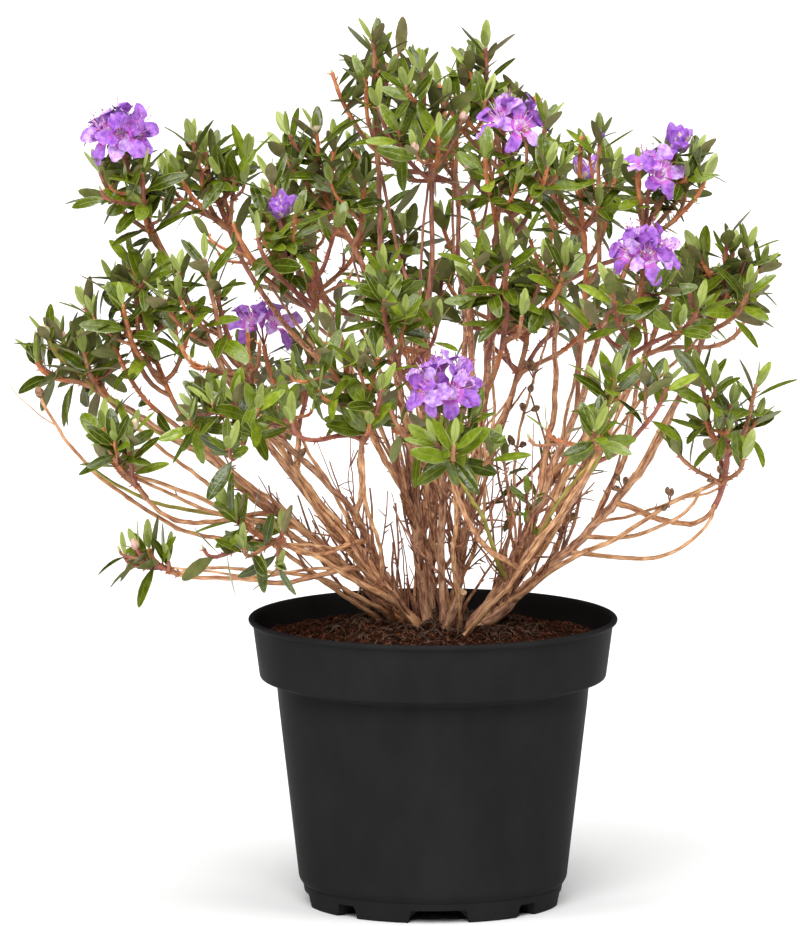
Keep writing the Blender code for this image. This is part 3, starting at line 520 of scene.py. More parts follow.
BOUGHS = {
    "low_left": ("left", 0.27, (-158, -40, 213), -4, 14, 3.8, 2.6),
    "low_front": ("left", 0.38, (-90, -86, 238), 6, 34, 3.6, 2.6),
    "left_low": ("far_left", 0.46, (-178, -44, 262), 0, 56, 3.6, 2.6),
    "left_upper": ("centre_left", 0.50, (-122, 14, 410), 38, 66, 4.4, 2.8),
    "back_left": ("left_tall", 0.42, (-84, 84, 276), 22, 58, 4.2, 2.8),
    "top_left": ("centre", 0.50, (-34, 4, 462), 48, 88, 4.2, 2.8),
    "front_left": ("left", 0.48, (-44, -108, 300), 30, 66, 4.0, 2.8),
    "front": ("front", 0.40, (12, -126, 284), 20, 64, 3.8, 2.8),
    "back_top": ("centre_right", 0.42, (16, 78, 428), 44, 80, 4.6, 2.8),
    "right_flower": ("right_tall", 0.42, (120, -62, 345), 34, 70, 4.4, 2.8),
    "back_right_high": ("right_tall", 0.34, (78, 82, 366), 34, 70, 4.4, 2.8),
    "low_right": ("far_right", 0.50, (174, -46, 256), -10, 60, 4.4, 2.8),
    "back_right": ("far_right", 0.40, (128, 82, 314), 18, 64, 4.4, 2.8),
    "back_far_right": ("back", 0.45, (50, 132, 300), 26, 62, 4.4, 2.8),
    "back_left_high": ("back", 0.38, (-66, 90, 360), 40, 70, 4.6, 2.8),
}
DEAD_TWIG = ("far_left", 0.30, (-243, -26, 322), -4, 68, 3.2, 1.8)
HANDLE = 0.36
SWAY = 0.016
SWAY_WAVES = (2.3, 3.1)
UPRIGHT_SWAY = 0.6
TAPER = 0.8
ROOT_FLARE = 0.22
BARE_WOOD = 0.84
FLARE_HEIGHT = 9.0 * MM
GNARLS = ((71.0 * MM, 1.1 * MM), (31.0 * MM, 0.55 * MM), (13.0 * MM, 0.28 * MM))
GNARL_FADE = 12.0 * MM
STEM_SIDES = 14
BOUGH_SIDES = 10
LIMB_STEP = 2.0 * MM
RIDGES = ((2, 55, 0.10), (3, 90, 0.09), (5, 160, 0.07), (6, 330, 0.05))
KNOT_SPACING = 8.0 * MM
KNOT_LENGTH = 1.7 * MM
KNOT_ROUND = 2.6
KNOT_PLACES = (0.02, 0.98)
KNOT_SIZES = (0.2, 0.7)
RIDGE_LEAN = (-0.5, 0.5)
STEM_RELIEF = 0.6
BOUGH_RELIEF = 0.55
SUNK_WIDENING = 1.05
SUNK_DEPTH = 7.0 * MM
SUNK_STEPS = 4
RED_FROM = 300.0 * MM
RED_BLEND = 90.0 * MM
UP = np.array((0.0, 0.0, 1.0))


def slope(heading, degrees):
    """Unit direction that rises by an angle along a level heading."""
    return heading * math.cos(math.radians(degrees)) + UP * math.sin(math.radians(degrees))


def limb_phase(name):
    """A fixed number for each name, which sets how its limb sways."""
    return sum(ord(letter) * (i + 3) for i, letter in enumerate(name)) % 628 / 100.0


def curve_between(start, tip, foot_rise, tip_rise, phase, count, leaving=None):
    """Cubic curve that leaves the start and reaches the tip at two slopes, or leaves along a given
    direction, plus a sideways and an upright sway that fade to nothing at both ends."""
    level = np.array((tip[0] - start[0], tip[1] - start[1], 0.0))
    heading = level / np.linalg.norm(level)
    side = np.cross(UP, heading)
    span = np.linalg.norm(tip - start)
    along = slope(heading, foot_rise) if leaving is None else leaving
    first = start + along * span * HANDLE
    second = tip - slope(heading, tip_rise) * span * HANDLE
    t = np.linspace(0.0, 1.0, count + 1)[:, None]
    s = 1.0 - t
    fade = np.sin(math.pi * t) * SWAY * span
    sway = fade * np.sin(phase + SWAY_WAVES[0] * math.pi * t)
    dip = fade * np.sin(2 * phase + SWAY_WAVES[1] * math.pi * t) * UPRIGHT_SWAY
    curve = start * s ** 3 + first * 3 * s * s * t + second * 3 * s * t * t + tip * t ** 3
    return curve + side * sway + UP * dip


def place_on(path, share):
    """Point at a share of the steps of a path."""
    place = share * (len(path) - 1)
    index = min(int(place), len(path) - 2)
    return path[index] + (path[index + 1] - path[index]) * (place - index)


def lengths_along(path):
    """Length of a path up to each of its points."""
    return np.concatenate([[0.0], np.cumsum(np.linalg.norm(np.diff(path, axis=0), axis=-1))])


def drawn_from(name):
    """A source of random numbers that is set by a name."""
    return np.random.default_rng(sum(map(ord, name)))


def gnarled(path, chance, size=1.0):
    """The path bent by three waves of falling length and size, each in a direction of its own,
    that fade to nothing at both ends."""
    length = lengths_along(path)
    fade = np.clip(np.minimum(length, length[-1] - length) / GNARL_FADE, 0.0, 1.0)
    for wave, reach in GNARLS:
        way = unit(chance.normal(size=3))
        swing = np.sin(math.tau * length / wave + chance.uniform(0.0, math.tau))
        path = path + (fade * swing * reach * size)[:, None] * way
    return path


def limb_path(name, start, tip, foot_rise, tip_rise):
    """Middle line of a limb, in steps of about two millimetres."""
    end = np.array(tip) * MM
    count = int(np.linalg.norm(end - start) / LIMB_STEP)
    smooth = curve_between(start, end, foot_rise, tip_rise, limb_phase(name), count)
    return gnarled(smooth, drawn_from(name))


def limb_paths():
    """Middle lines of all stems and boughs, and of the dead twig, by name."""
    paths = {}
    for name, (foot, tip, foot_rise, tip_rise, _, _) in STEMS.items():
        start = np.array((foot[0] * MM, foot[1] * MM, SOIL_TOP + GAP))
        paths["stem_" + name] = limb_path("stem_" + name, start, tip, foot_rise, tip_rise)
    rows = {"bough_" + name: sizes for name, sizes in BOUGHS.items()}
    rows["dead_twig"] = DEAD_TWIG
    for name, (stem, share, tip, foot_rise, tip_rise, _, _) in rows.items():
        start = place_on(paths["stem_" + stem], share)
        paths[name] = limb_path(name, start, tip, foot_rise, tip_rise)
    return paths


def taper(path, foot_diameter, tip_diameter, flare=0.0):
    """Radius along a limb: an even taper by its length, with a root's flare near the soil."""
    share = np.linspace(0.0, 1.0, len(path))
    radius = 0.5 * MM * (foot_diameter + (tip_diameter - foot_diameter) * share ** TAPER)
    height = np.maximum(path[:, 2] - SOIL_TOP, 0.0)
    return radius * (1.0 + flare * np.exp(-height / FLARE_HEIGHT))


def bark_relief(radii, length, chance, sides, roughness):
    """Height of the bark over the limb's middle line: long ridges whose number, lean and phase are
    drawn for each limb, broken by shorter ones, plus a few round knots, all in proportion to its
    radius."""
    angle = np.linspace(0.0, math.tau, sides, endpoint=False)[None]
    run = length[:, None]
    relief = 0.0
    for ridges, waves, size in RIDGES:
        lean = chance.uniform(*RIDGE_LEAN) * waves
        phase = chance.uniform(0.0, math.tau, 2)
        swell = 0.6 + 0.4 * np.sin(waves * run + phase[1])
        relief = relief + size * np.sin(ridges * angle + lean * run + phase[0]) * swell
    for _ in range(int(length[-1] / KNOT_SPACING)):
        place = chance.uniform(*KNOT_PLACES) * length[-1]
        turn = 1.0 - np.cos(angle - chance.uniform(0.0, math.tau))
        knot = np.exp(-((run - place) / KNOT_LENGTH) ** 2 - turn * KNOT_ROUND)
        relief = relief + chance.uniform(*KNOT_SIZES) * knot
    return relief * roughness * radii[:, None]


def limb_shape(path, radii, chance, roughness, sides):
    """Points, faces and grain of one limb with its bark."""
    relief = bark_relief(radii, lengths_along(path), chance, sides, roughness)
    points, faces, grain = tubes(path[None], radii[None], sides, relief[None])
    return points[0], faces, grain[0]


def joined(shapes):
    """Shapes of (points, faces, field) laid end to end as one."""
    sizes = np.cumsum([0] + [len(points) for points, _, _ in shapes])
    points, faces, fields = zip(*shapes)
    faces = [part + size for part, size in zip(faces, sizes)]
    return np.concatenate(points), np.concatenate(faces), np.concatenate(fields)


def sunk_start(path, radii):
    """A stem's path and radii carried on down into the peat, a little wider, so no gap shows."""
    away = unit(path[0] - path[2])
    steps = np.arange(SUNK_STEPS, 0, -1)[:, None] / SUNK_STEPS
    extra = path[0] + away * SUNK_DEPTH * steps
    foot = np.full(SUNK_STEPS, radii[0] * SUNK_WIDENING)
    return np.concatenate([extra, path]), np.append(foot, radii)


def bark(name, dark, light, scale, roughness, bump, detail=4.0, pull=0.4):
    """A mottled finish that follows the grain of a limb and is drawn out along it."""
    return mottled_material(name, dark, light, scale, roughness, bump, detail, (1.0, 1.0, pull),
                            "grain")


def add_limbs(name, shapes, seed, materials, slot, stands_for=(), green=None):
    """A new piece of many limbs. Its faces are of old pale wood low down, and of young red wood
    more and more often upwards. Limbs that are marked green have the third finish all over."""
    points, faces, grain = joined(shapes)
    height = points[faces].mean(1)[:, 2]
    odds = np.random.default_rng(seed).uniform(0.0, 1.0, len(faces))
    index = ((height - RED_FROM) / RED_BLEND > odds).astype(int)
    if green:
        index = np.where(np.repeat(green, [len(shape[1]) for shape in shapes]), 2, index)
    add_piece(name, points, faces, materials, index, slot, stands_for, grain=grain)


red_bark = bark("red_bark", (0.16, 0.055, 0.038), (0.56, 0.225, 0.135), 600.0, (0.5, 0.75),
                0.0006, 6.0, 0.2)
old_bark = bark("old_bark", (0.26, 0.105, 0.058), (0.85, 0.49, 0.285), 700.0, (0.7, 0.9),
                0.0009, 8.0, 0.22)
young_bark = bark("young_bark", (0.33, 0.12, 0.052), (0.85, 0.46, 0.23), 700.0, (0.5, 0.75),
                  0.0006, 6.0, 0.2)
paths = limb_paths()
chance = np.random.default_rng(23)
stems, boughs = [], []
for name, (*_, foot_diameter, tip_diameter) in STEMS.items():
    path = paths["stem_" + name]
    radii = taper(path, BARE_WOOD * foot_diameter, tip_diameter, ROOT_FLARE)
    stems.append(limb_shape(*sunk_start(path, radii), chance, STEM_RELIEF, STEM_SIDES))
for name, (*_, foot_diameter, tip_diameter) in BOUGHS.items():
    path = paths["bough_" + name]
    radii = taper(path, foot_diameter, tip_diameter)
    boughs.append(limb_shape(path, radii, chance, BOUGH_RELIEF, BOUGH_SIDES))
add_limbs("barked_stems", stems, 24, [old_bark, red_bark], "bark",
          ["stem_" + name for name in STEMS])
add_limbs("barked_boughs", boughs, 25, [young_bark, red_bark], "young_bark",
          ["bough_" + name for name in BOUGHS])

# Dead twig
# A leafless old shoot at the far left that ends in a dry seed capsule, with one thin hair of a
# twig beside it. The capsule is a woody husk of five ribs on the twig's tip.
CAPSULE_LENGTH = 8.0 * MM
CAPSULE_WIDTH = 5.4 * MM
HUSK_ROWS = 9
HUSK_COLUMNS = 15
CAPSULE_RIBS = 5
DEAD_RELIEF = 1.0
DEAD_SIDES = 9
HAIR_ROOT = 0.90
HAIR_TIP = (-263.6, -20.0, 331.0)
HAIR_RISES = (30.0, 60.0)
HAIR_PHASE = 1.3
HAIR_RADII = (0.5, 0.2)
HAIR_STEPS = 24


def ribbed_husk(feet, axes, lengths, widths, ribs, chance, open_top=0.25, rows=HUSK_ROWS,
                columns=HUSK_COLUMNS):
    """Closed husks that stand on their feet along their axes: the radius is a sine arch along the
    length, fuller near the foot, times a ribbed round section whose valleys deepen to the top."""
    share = np.linspace(0.04, 0.97, rows)[:, None]
    angle = np.linspace(0.0, math.tau, columns, endpoint=False)[None]
    arch = np.sin(math.pi * share ** 0.8) ** 0.7
    section = 1.0 + (0.06 + open_top * share) * np.cos(ribs * angle)
    across = unit(np.cross(axes, (0.37, 0.21, 0.9)))
    turn = chance.uniform(0.0, math.tau, len(feet))[:, None, None]
    aside = np.cross(axes, across)[:, None, None]
    spokes = spokes_round(across[:, None, None], aside, angle + turn)
    reach = (0.5 * widths[:, None, None] * arch * section)[..., None]
    height = (lengths[:, None, None] * share)[..., None]
    rings = feet[:, None, None] + spokes * reach + axes[:, None, None] * height
    poles = np.stack([feet, feet + axes * lengths[:, None] * 0.93], 1)
    points = np.concatenate([rings.reshape(len(feet), -1, 3), poles], 1)
    return points.reshape(-1, 3), repeated(capped_grid(rows, columns), points.shape[1], len(feet))


dry_husk = mottled_material("dry_husk", (0.09, 0.045, 0.022), (0.36, 0.20, 0.11), 500.0,
                            (0.7, 0.9), bump=0.0004)
path = paths["dead_twig"]
twig = limb_shape(path, taper(path, *DEAD_TWIG[-2:]), chance, DEAD_RELIEF, DEAD_SIDES)
hair = curve_between(place_on(path, HAIR_ROOT), np.array(HAIR_TIP) * MM, *HAIR_RISES, HAIR_PHASE,
                     HAIR_STEPS)
points, faces, grain = tubes(hair[None], np.linspace(*HAIR_RADII, HAIR_STEPS + 1) * MM, 5)
points, faces, grain = joined([twig, (points[0], faces, grain[0])])
add_piece("dead_twig_bark", points, faces, [young_bark], slot="young_bark", grain=grain,
          stands_for=["dead_twig"])
tip, axis = path[-1:], unit(path[-1:] - path[-4:-3])
husk = ribbed_husk(tip - axis * MM, axis, np.array([CAPSULE_LENGTH]), np.array([CAPSULE_WIDTH]),
                   CAPSULE_RIBS, chance)
add_piece("dead_twig_capsule", *husk, [dry_husk], slot="young_bark")

# Shoots
# Each mass of foliage grows from one leading shoot on a limb's tip or side. Side shoots fork off
# it by a seeded rule, and finer ones off those. New wood is rust red near the leaves and brown
# below, with a few yellow-green suckers.
MASSES = {
    "top_left": ("bough_top_left", 1, (-36, 6, 531), 26, 4),
    "top_centre": ("stem_centre", 1, (-8, -34, 512), 30, 4),
    "top_right": ("stem_centre_right", 1, (31, 12, 526), 30, 4),
    "upper_left": ("stem_centre_left", 1, (-76, 26, 466), 34, 4),
    "left_truss": ("stem_left_tall", 1, (-192, -18, 474), 22, 4),
    "left_high": ("bough_left_upper", 1, (-142, 22, 468), 26, 4),
    "upper_right_flower": ("stem_centre_right", 0.60, (49, -46, 484), 32, 4),
    "upper_right": ("stem_right_tall", 0.62, (92, 20, 478), 36, 4),
    "right_high": ("stem_right_tall", 1, (150, -4, 474), 30, 4),
    "right": ("stem_far_right", 1, (186, 4, 408), 34, 5),
    "right_flower": ("bough_right_flower", 1, (129, -74, 408), 34, 4),
    "centre_right_front": ("stem_centre_right", 0.42, (45, -82, 420), 38, 4),
    "centre_left_front": ("stem_centre", 0.44, (-30, -92, 403), 36, 4),
    "small_flower": ("stem_centre_left", 0.58, (-93, -48, 438), 34, 4),
    "left": ("stem_far_left", 0.60, (-186, -12, 396), 34, 4),
    "far_left": ("stem_far_left", 1, (-230, 6, 354), 20, 4),
    "left_low": ("bough_left_low", 1, (-204, -52, 306), 20, 3),
    "left_mid": ("stem_left", 0.72, (-134, -78, 400), 36, 4),
    "left_front": ("stem_left", 1, (-122, -110, 332), 34, 4),
    "front_left": ("bough_front_left", 1, (-54, -134, 358), 36, 4),
    "front_flower": ("bough_front", 1, (7, -150, 338), 34, 4),
    "front_right": ("stem_front", 1, (108, -120, 350), 36, 4),
    "low_right": ("bough_low_right", 1, (184, -50, 320), 32, 4),
    "low_front": ("bough_low_front", 1, (-118, -98, 258), 30, 3),
    "low_left": ("bough_low_left", 1, (-176, -42, 229), 14, 2),
    "back_top": ("bough_back_top", 1, (6, 94, 492), 38, 4),
    "back_left_high": ("bough_back_left_high", 1, (-86, 110, 432), 38, 4),
    "back_right_high": ("bough_back_right_high", 1, (96, 106, 440), 40, 4),
    "back_left": ("bough_back_left", 1, (-106, 114, 334), 38, 4),
    "back_right": ("bough_back_right", 1, (154, 102, 386), 38, 4),
    "back_mid": ("stem_back", 1, (-32, 168, 380), 38, 4),
    "back_far_right": ("bough_back_far_right", 1, (62, 166, 370), 38, 4),
}
TRUSSES = {
    ("left_truss", 0): (6, 46.0, (-0.1, -0.7, 1.0)),
    ("front_flower", 0): (6, 50.0, (0.0, -1.0, 0.7)),
    ("right_flower", 0): (5, 42.0, (0.0, -1.0, 0.8)),
    ("upper_right_flower", 0): (4, 46.0, (0.1, -0.7, 1.0)),
    ("right_high", 80): (2, 24.0, (0.1, -1.0, 0.4)),
    ("back_left", 0): (3, 36.0, (0.1, -0.4, 1.0)),
}
HALF_OPEN = {("right_high", 0): 8, ("small_flower", 0): 9, ("back_right_high", 0): 3}
ROSETTES = {
    "top_left": ((373, 42), (388, 80), (377, 120)),
    "top_centre": ((422, 75),),
    "top_right": ((485, 50), (465, 84)),
    "upper_left": ((335, 148), (316, 132), (285, 155)),
    "left_truss": ((140, 178), (143, 206)),
    "left_high": ((193, 143), (247, 158), (200, 178)),
    "small_flower": ((272, 182), (265, 215)),
    "upper_right_flower": ((545, 125),),
    "upper_right": ((600, 138), (598, 207)),
    "right_high": ((648, 190), (672, 157)),
    "right": ((700, 258), (747, 250), (727, 233), (728, 290)),
    "centre_right_front": ((506, 263), (564, 268)),
    "centre_left_front": ((384, 272),),
    "left": ((132, 258), (117, 286), (141, 286), (115, 345)),
    "left_mid": ((207, 262),),
    "far_left": ((47, 336), (82, 355)),
    "left_low": ((135, 430),),
    "left_front": ((215, 404), (260, 408)),
    "front_left": ((326, 351), (378, 360), (370, 424)),
    "front_flower": ((458, 430),),
    "front_right": ((612, 381),),
    "low_right": ((703, 421), (754, 385), (697, 374)),
    "low_front": ((230, 509), (279, 567)),
    "low_left": ((138, 548),),
    "back_top": ((415, 128), (406, 170)),
    "back_mid": ((402, 230), (378, 195), (369, 216), (412, 287)),
    "back_far_right": ((443, 222), (445, 272), (470, 198), (557, 213), (455, 310)),
    "back_left_high": ((355, 168), (283, 272)),
    "back_right_high": ((553, 184), (613, 167)),
}
ROSETTE_FORWARD = 8.0 * MM
ROSETTE_ROOTS = (0.45, 0.7)
ROSETTE_CLIMB = 12.0 * MM
ROSETTE_LOW_ROOT = 0.2
FIRST_ROSETTE = 80
FIRST_SUCKER = 90
LEADER_RISES = (40.0, 80.0)
SHOOT_LENGTH = 64.0 * MM
GREEN_WOOD = ("front_flower", "far_left", "front_right")
SUCKERS = (("stem_right_tall", 0.20, (44, 34, 276)), ("stem_back", 0.30, (73, 40, 281)),
           ("stem_far_right", 0.26, (98, 30, 279)), ("stem_right_tall", 0.26, (58, -30, 262)))
SUCKER_RISES = (30.0, 60.0)
BARE_SHARE = 0.15
LOWEST_FORK = 0.10
FORK_RANGE = (-0.10, 0.12)
BEARING_RANGE = (-0.3, 0.3)
REACH_RANGE = (0.85, 1.15)
DROP_RANGE = (0.15, 1.0)
SHOOT_RISE_RANGE = (20.0, 45.0)
SHOOT_TIP_RISE = 72.0
SPACE_OVERLAP = 1.12
LEAF_REACH = 26.0 * MM
LEAF_MARGIN = 14.0 * MM
CROWN_LOW = np.array((-265.0, -200.0, 198.0)) * MM
CROWN_HIGH = np.array((227.0, 212.0, 564.0)) * MM
CENTRE_DROP = 0.3
FINE_NUMBER = 10
FINE_ROOTS = (0.35, 0.75)
FINE_REACH = (12.0 * MM, 26.0 * MM)
FINE_DROP = (0.0, 1.0)
FINE_CLIMB = 4.0 * MM
SHOOT_STATIONS = 12
SHOOT_SIDES = 6
LEADER_RADII = (1.9 * MM, 1.6 * MM)
SIDE_RADII = (1.6 * MM, 1.35 * MM)
FINE_RADII = (1.15 * MM, 1.0 * MM)
SHOOT_TONES = (0.5, 0.28, 0.22)
BROWN_CELLS = 5
KNUCKLES = 29.0
KNUCKLE_SIZE = 0.12
ELEVATION = math.radians(8.5)
PIXEL = 0.6216 * MM
AXIS_PIXEL = 433
GROUND_PIXEL = 903
SKY_GAPS = {
    "between_the_two_tops": (428, 20, 18),
    "left_of_the_top": (305, 68, 27),
    "right_of_the_top": (538, 74, 14),
    "left_shoulder": (258, 112, 15),
    "right_shoulder": (582, 108, 11),
    "left_of_the_half_open_flower": (648, 110, 13),
    "right_of_the_right_flower": (728, 197, 15),
    "under_the_left_truss": (95, 182, 10),
    "left_edge": (90, 255, 10),
    "left_of_the_high_left_stem": (215, 222, 9),
    "right_of_the_high_left_stem": (232, 195, 9),
    "under_the_small_flower": (248, 235, 8),
    "over_the_back_flower": (252, 300, 13),
    "left_of_the_back_flower": (270, 326, 8),
    "inner_left_upper": (325, 246, 11),
    "inner_left_lower": (322, 290, 9),
    "over_the_front_flower": (448, 333, 9),
    "right_of_the_front_flower": (514, 378, 9),
    "between_the_tall_stems": (533, 345, 9),
    "right_of_the_tall_stems": (557, 352, 9),
    "left_arch_upper": (78, 432, 11),
    "left_arch_outer": (60, 490, 15),
    "left_arch_inner": (122, 492, 9),
    "left_arch_fork": (115, 470, 8),
    "under_the_left_arch": (100, 530, 18),
    "left_of_the_left_stems": (162, 388, 10),
    "low_left_stems": (155, 497, 8),
    "over_the_lowest_twig": (190, 550, 13),
    "right_of_the_lowest_twig": (232, 560, 8),
    "left_stems_outer": (256, 463, 11),
    "left_stems_middle": (283, 480, 12),
    "left_stems_inner": (303, 437, 9),
    "left_stems_under": (315, 485, 8),
    "under_the_front_leaves": (368, 455, 8),
    "right_stems_upper": (645, 413, 7),
    "right_stems_middle": (625, 475, 9),
    "right_stems_inner": (592, 498, 7),
    "under_the_low_right_leaves": (672, 466, 11),
    "right_arch": (685, 520, 9),
    "right_of_the_arch": (735, 500, 15),
    "low_right_edge": (755, 470, 18),
    "right_edge": (768, 435, 12),
    "under_the_right_arch": (740, 570, 40),
    "over_the_right_rim": (600, 580, 24),
}
OPENINGS = np.array(list(SKY_GAPS.values()))
CENTRES = {name: (np.array(top) * MM - UP * CENTRE_DROP * spread * MM, spread * MM + LEAF_REACH)
           for name, (_, _, top, spread, _) in MASSES.items()}


def picture_place(points):
    """Where points stand in the front view, in its pixels across and down."""
    across = AXIS_PIXEL + points[..., 0] / PIXEL
    raised = points[..., 2] * math.cos(ELEVATION) + points[..., 1] * math.sin(ELEVATION)
    return np.stack([across, GROUND_PIXEL - raised / PIXEL], -1)


def place_at(across, down, depth):
    """The place that stands at a picture place in the front view, at a given depth along Y."""
    raised = (GROUND_PIXEL - down) * PIXEL - depth * math.sin(ELEVATION)
    return np.array(((across - AXIS_PIXEL) * PIXEL, depth, raised / math.cos(ELEVATION)))


def in_opening(points, margin=0.0):
    """Whether points lie in one of the openings through which the sky shows from the front, or
    within a margin round it. The openings are circles in the front view's pixels."""
    away = np.linalg.norm(picture_place(points)[..., None, :] - OPENINGS[:, :2], axis=-1)
    return (away < OPENINGS[:, 2] + margin).any(-1)


def in_own_space(name, point, margin=0.0):
    """Whether a point lies in the crown and nearer to its own mass than to any other, by size."""
    if not (np.all(point > CROWN_LOW + margin) and np.all(point < CROWN_HIGH - margin)):
        return False
    middle, size = CENTRES[name]
    own = np.linalg.norm(point - middle) / size
    return all(np.linalg.norm(point - other) / reach * SPACE_OVERLAP >= own
               for other, reach in CENTRES.values())


def out_and_down(bearing, out, drop):
    """An offset along a level bearing and downwards."""
    return np.array((math.cos(bearing) * out, math.sin(bearing) * out, -drop))


def mass_shoots(name):
    """Paths of a mass's leading shoot and of its side shoots, by the seeded branching rule of the
    solids, then of one to each rosette seen from the front, and of a finer twig off each of them,
    drawn from a source of their own. The number of a shoot tells its kind."""
    limb, share, top, spread, count = MASSES[name]
    path, top = paths[limb], np.array(top) * MM
    chance = random.Random(name)
    start, leaving = place_on(path, share), None
    if share == 1:
        leaving = unit(path[-1] - path[-2])
        start = path[-1] - leaving * MM
    steps = SHOOT_STATIONS - 1
    leader = curve_between(start, top, *LEADER_RISES, limb_phase(name), steps, leaving)
    fork = max(1.0 - SHOOT_LENGTH / np.linalg.norm(top - start), BARE_SHARE)
    shoots = {0: (leader, LEADER_RADII)}
    turn = chance.uniform(0.0, math.tau)
    for i in range(count):
        bearing = turn + i * math.tau / count + chance.uniform(*BEARING_RANGE)
        root = place_on(leader, max(fork + chance.uniform(*FORK_RANGE), LOWEST_FORK))
        out = spread * MM * chance.uniform(*REACH_RANGE)
        tip = top + out_and_down(bearing, out, spread * MM * chance.uniform(*DROP_RANGE))
        rise = chance.uniform(*SHOOT_RISE_RANGE)
        phase = chance.uniform(0.0, math.tau)
        if in_own_space(name, tip, LEAF_MARGIN) and not in_opening(tip):
            side = curve_between(root, tip, rise, SHOOT_TIP_RISE, phase, steps)
            shoots[i + 1] = (side, SIDE_RADII)
    fine = random.Random(name + " fine")
    for i, (across, down) in enumerate(ROSETTES.get(name, ())):
        tip = place_at(across, down, top[1] - ROSETTE_FORWARD)
        root = place_on(leader, fine.uniform(*ROSETTE_ROOTS))
        if root[2] >= tip[2] - ROSETTE_CLIMB:
            root = place_on(leader, ROSETTE_LOW_ROOT)
        rise = fine.uniform(*SHOOT_RISE_RANGE)
        side = curve_between(root, tip, rise, SHOOT_TIP_RISE, fine.uniform(0, 6), steps)
        shoots[FIRST_ROSETTE + i] = (side, SIDE_RADII)
    for number, (carrier, _) in list(shoots.items()):
        bearing = fine.uniform(0.0, math.tau)
        root = place_on(carrier, fine.uniform(*FINE_ROOTS))
        out = fine.uniform(*FINE_REACH)
        tip = carrier[-1] + out_and_down(bearing, out, fine.uniform(*FINE_DROP) * out)
        fits = in_own_space(name, tip, LEAF_MARGIN) and not in_opening(tip)
        if tip[2] > root[2] + FINE_CLIMB and fits:
            rise = fine.uniform(*SHOOT_RISE_RANGE)
            twig = curve_between(root, tip, rise, SHOOT_TIP_RISE, fine.uniform(0, 6), steps)
            shoots[FINE_NUMBER * (number + 1)] = (twig, FINE_RADII)
    return shoots


def tip_of(name, number):
    """Tip and end direction of a mass's shoot, or of its leader where that shoot is absent."""
    run = shoots[name].get(number, shoots[name][0])[0]
    return run[-1], unit(run[-1] - run[-2])


shoots = {name: mass_shoots(name) for name in MASSES}
for i, (stem, share, tip) in enumerate(SUCKERS):
    root, tip = place_on(paths[stem], share), np.array(tip) * MM
    path = curve_between(root, tip, *SUCKER_RISES, i, SHOOT_STATIONS - 1)
    shoots["front_right"][FIRST_SUCKER + i] = (path, FINE_RADII)
rust_shoot = bark("rust_shoot", (0.40, 0.11, 0.04), (0.72, 0.28, 0.11), 300.0, (0.4, 0.6), 0.0003)
red_shoot = bark("red_shoot", (0.22, 0.062, 0.045), (0.46, 0.16, 0.10), 300.0, (0.4, 0.6), 0.0003)
brown_shoot = bark("brown_shoot", (0.26, 0.10, 0.05), (0.55, 0.26, 0.13), 300.0, (0.5, 0.7), 0.0003)
green_shoot = bark("green_shoot", (0.22, 0.19, 0.03), (0.48, 0.42, 0.08), 200.0, (0.4, 0.6), 0.0002)
rows = [row for name in MASSES for row in shoots[name].values()]
chance = np.random.default_rng(37)
share = np.linspace(0.0, 1.0, SHOOT_STATIONS)[None]
foot, tip = np.array([radii for _, radii in rows]).T[..., None]
knots = 1.0 + KNUCKLE_SIZE * np.sin(chance.uniform(0, 6, (len(rows), 1)) + KNUCKLES * share)
tone = chance.choice(3, len(rows), p=SHOOT_TONES)
green = [name in GREEN_WOOD and number in (0, FIRST_ROSETTE)
         for name in MASSES for number in shoots[name]]
tone = np.where(green, 3, tone)[:, None]
cells = np.arange(2 * SHOOT_SIDES * SHOOT_STATIONS)[None]
index = np.where((cells < 2 * SHOOT_SIDES * BROWN_CELLS) & (tone == 0), 2, tone)
add_tubes("leafy_shoots", np.stack([run for run, _ in rows]), (foot + (tip - foot) * share) * knots,
          SHOOT_SIDES, [rust_shoot, red_shoot, brown_shoot, green_shoot], index.ravel(),
          stands_for=["foliage_" + name for name in MASSES])

# Leaf scars
# Short stubs of old leaf stalks that stay on the shoots below the leaves, in the same spiral.
# They are woody and as rusty as the young shoots.
GOLDEN_ANGLE = math.radians(137.5)
SCARS = 14
SCAR_STEP = 3.6 * MM
SCAR_LENGTH = (0.8, 2.2)
SCAR_LEAN = 0.7
SCAR_REACH = np.linspace(0.3, 1.0, 3)[:, None, None]
SCAR_RADII = np.array((0.55, 0.42, 0.36)) * MM


def back_along(path, distances):
    """Points and directions on a path at distances before its tip."""
    length = lengths_along(path)

    def point_at(place):
        """The path's point at a distance from its start, on a straight line between stations."""
        return np.stack([np.interp(place, length, path[:, i]) for i in range(3)], 1)

    wanted = np.clip(length[-1] - distances, 0.0, length[-1])
    ahead = point_at(np.minimum(wanted + MM, length[-1]))
    return point_at(wanted), unit(ahead - point_at(np.maximum(wanted - MM, 0.0)))


chance = np.random.default_rng(39)
order = np.arange(SCARS)
stubs = []
for run, radii in rows:
    place, axis = back_along(run, (order + chance.uniform(0.2, 0.8, SCARS)) * SCAR_STEP)
    side = unit(np.cross(axis, SLANT))
    angle = chance.uniform(0.0, math.tau) + order * GOLDEN_ANGLE
    way = spokes_round(side, np.cross(axis, side), angle) + SCAR_LEAN * axis
    length = radii[1] + chance.uniform(*SCAR_LENGTH, (1, SCARS, 1)) * MM
    stubs.append(np.swapaxes(place + way * length * SCAR_REACH, 0, 1))
add_tubes("leaf_scars", np.concatenate(stubs), SCAR_RADII, 4, [rust_shoot])

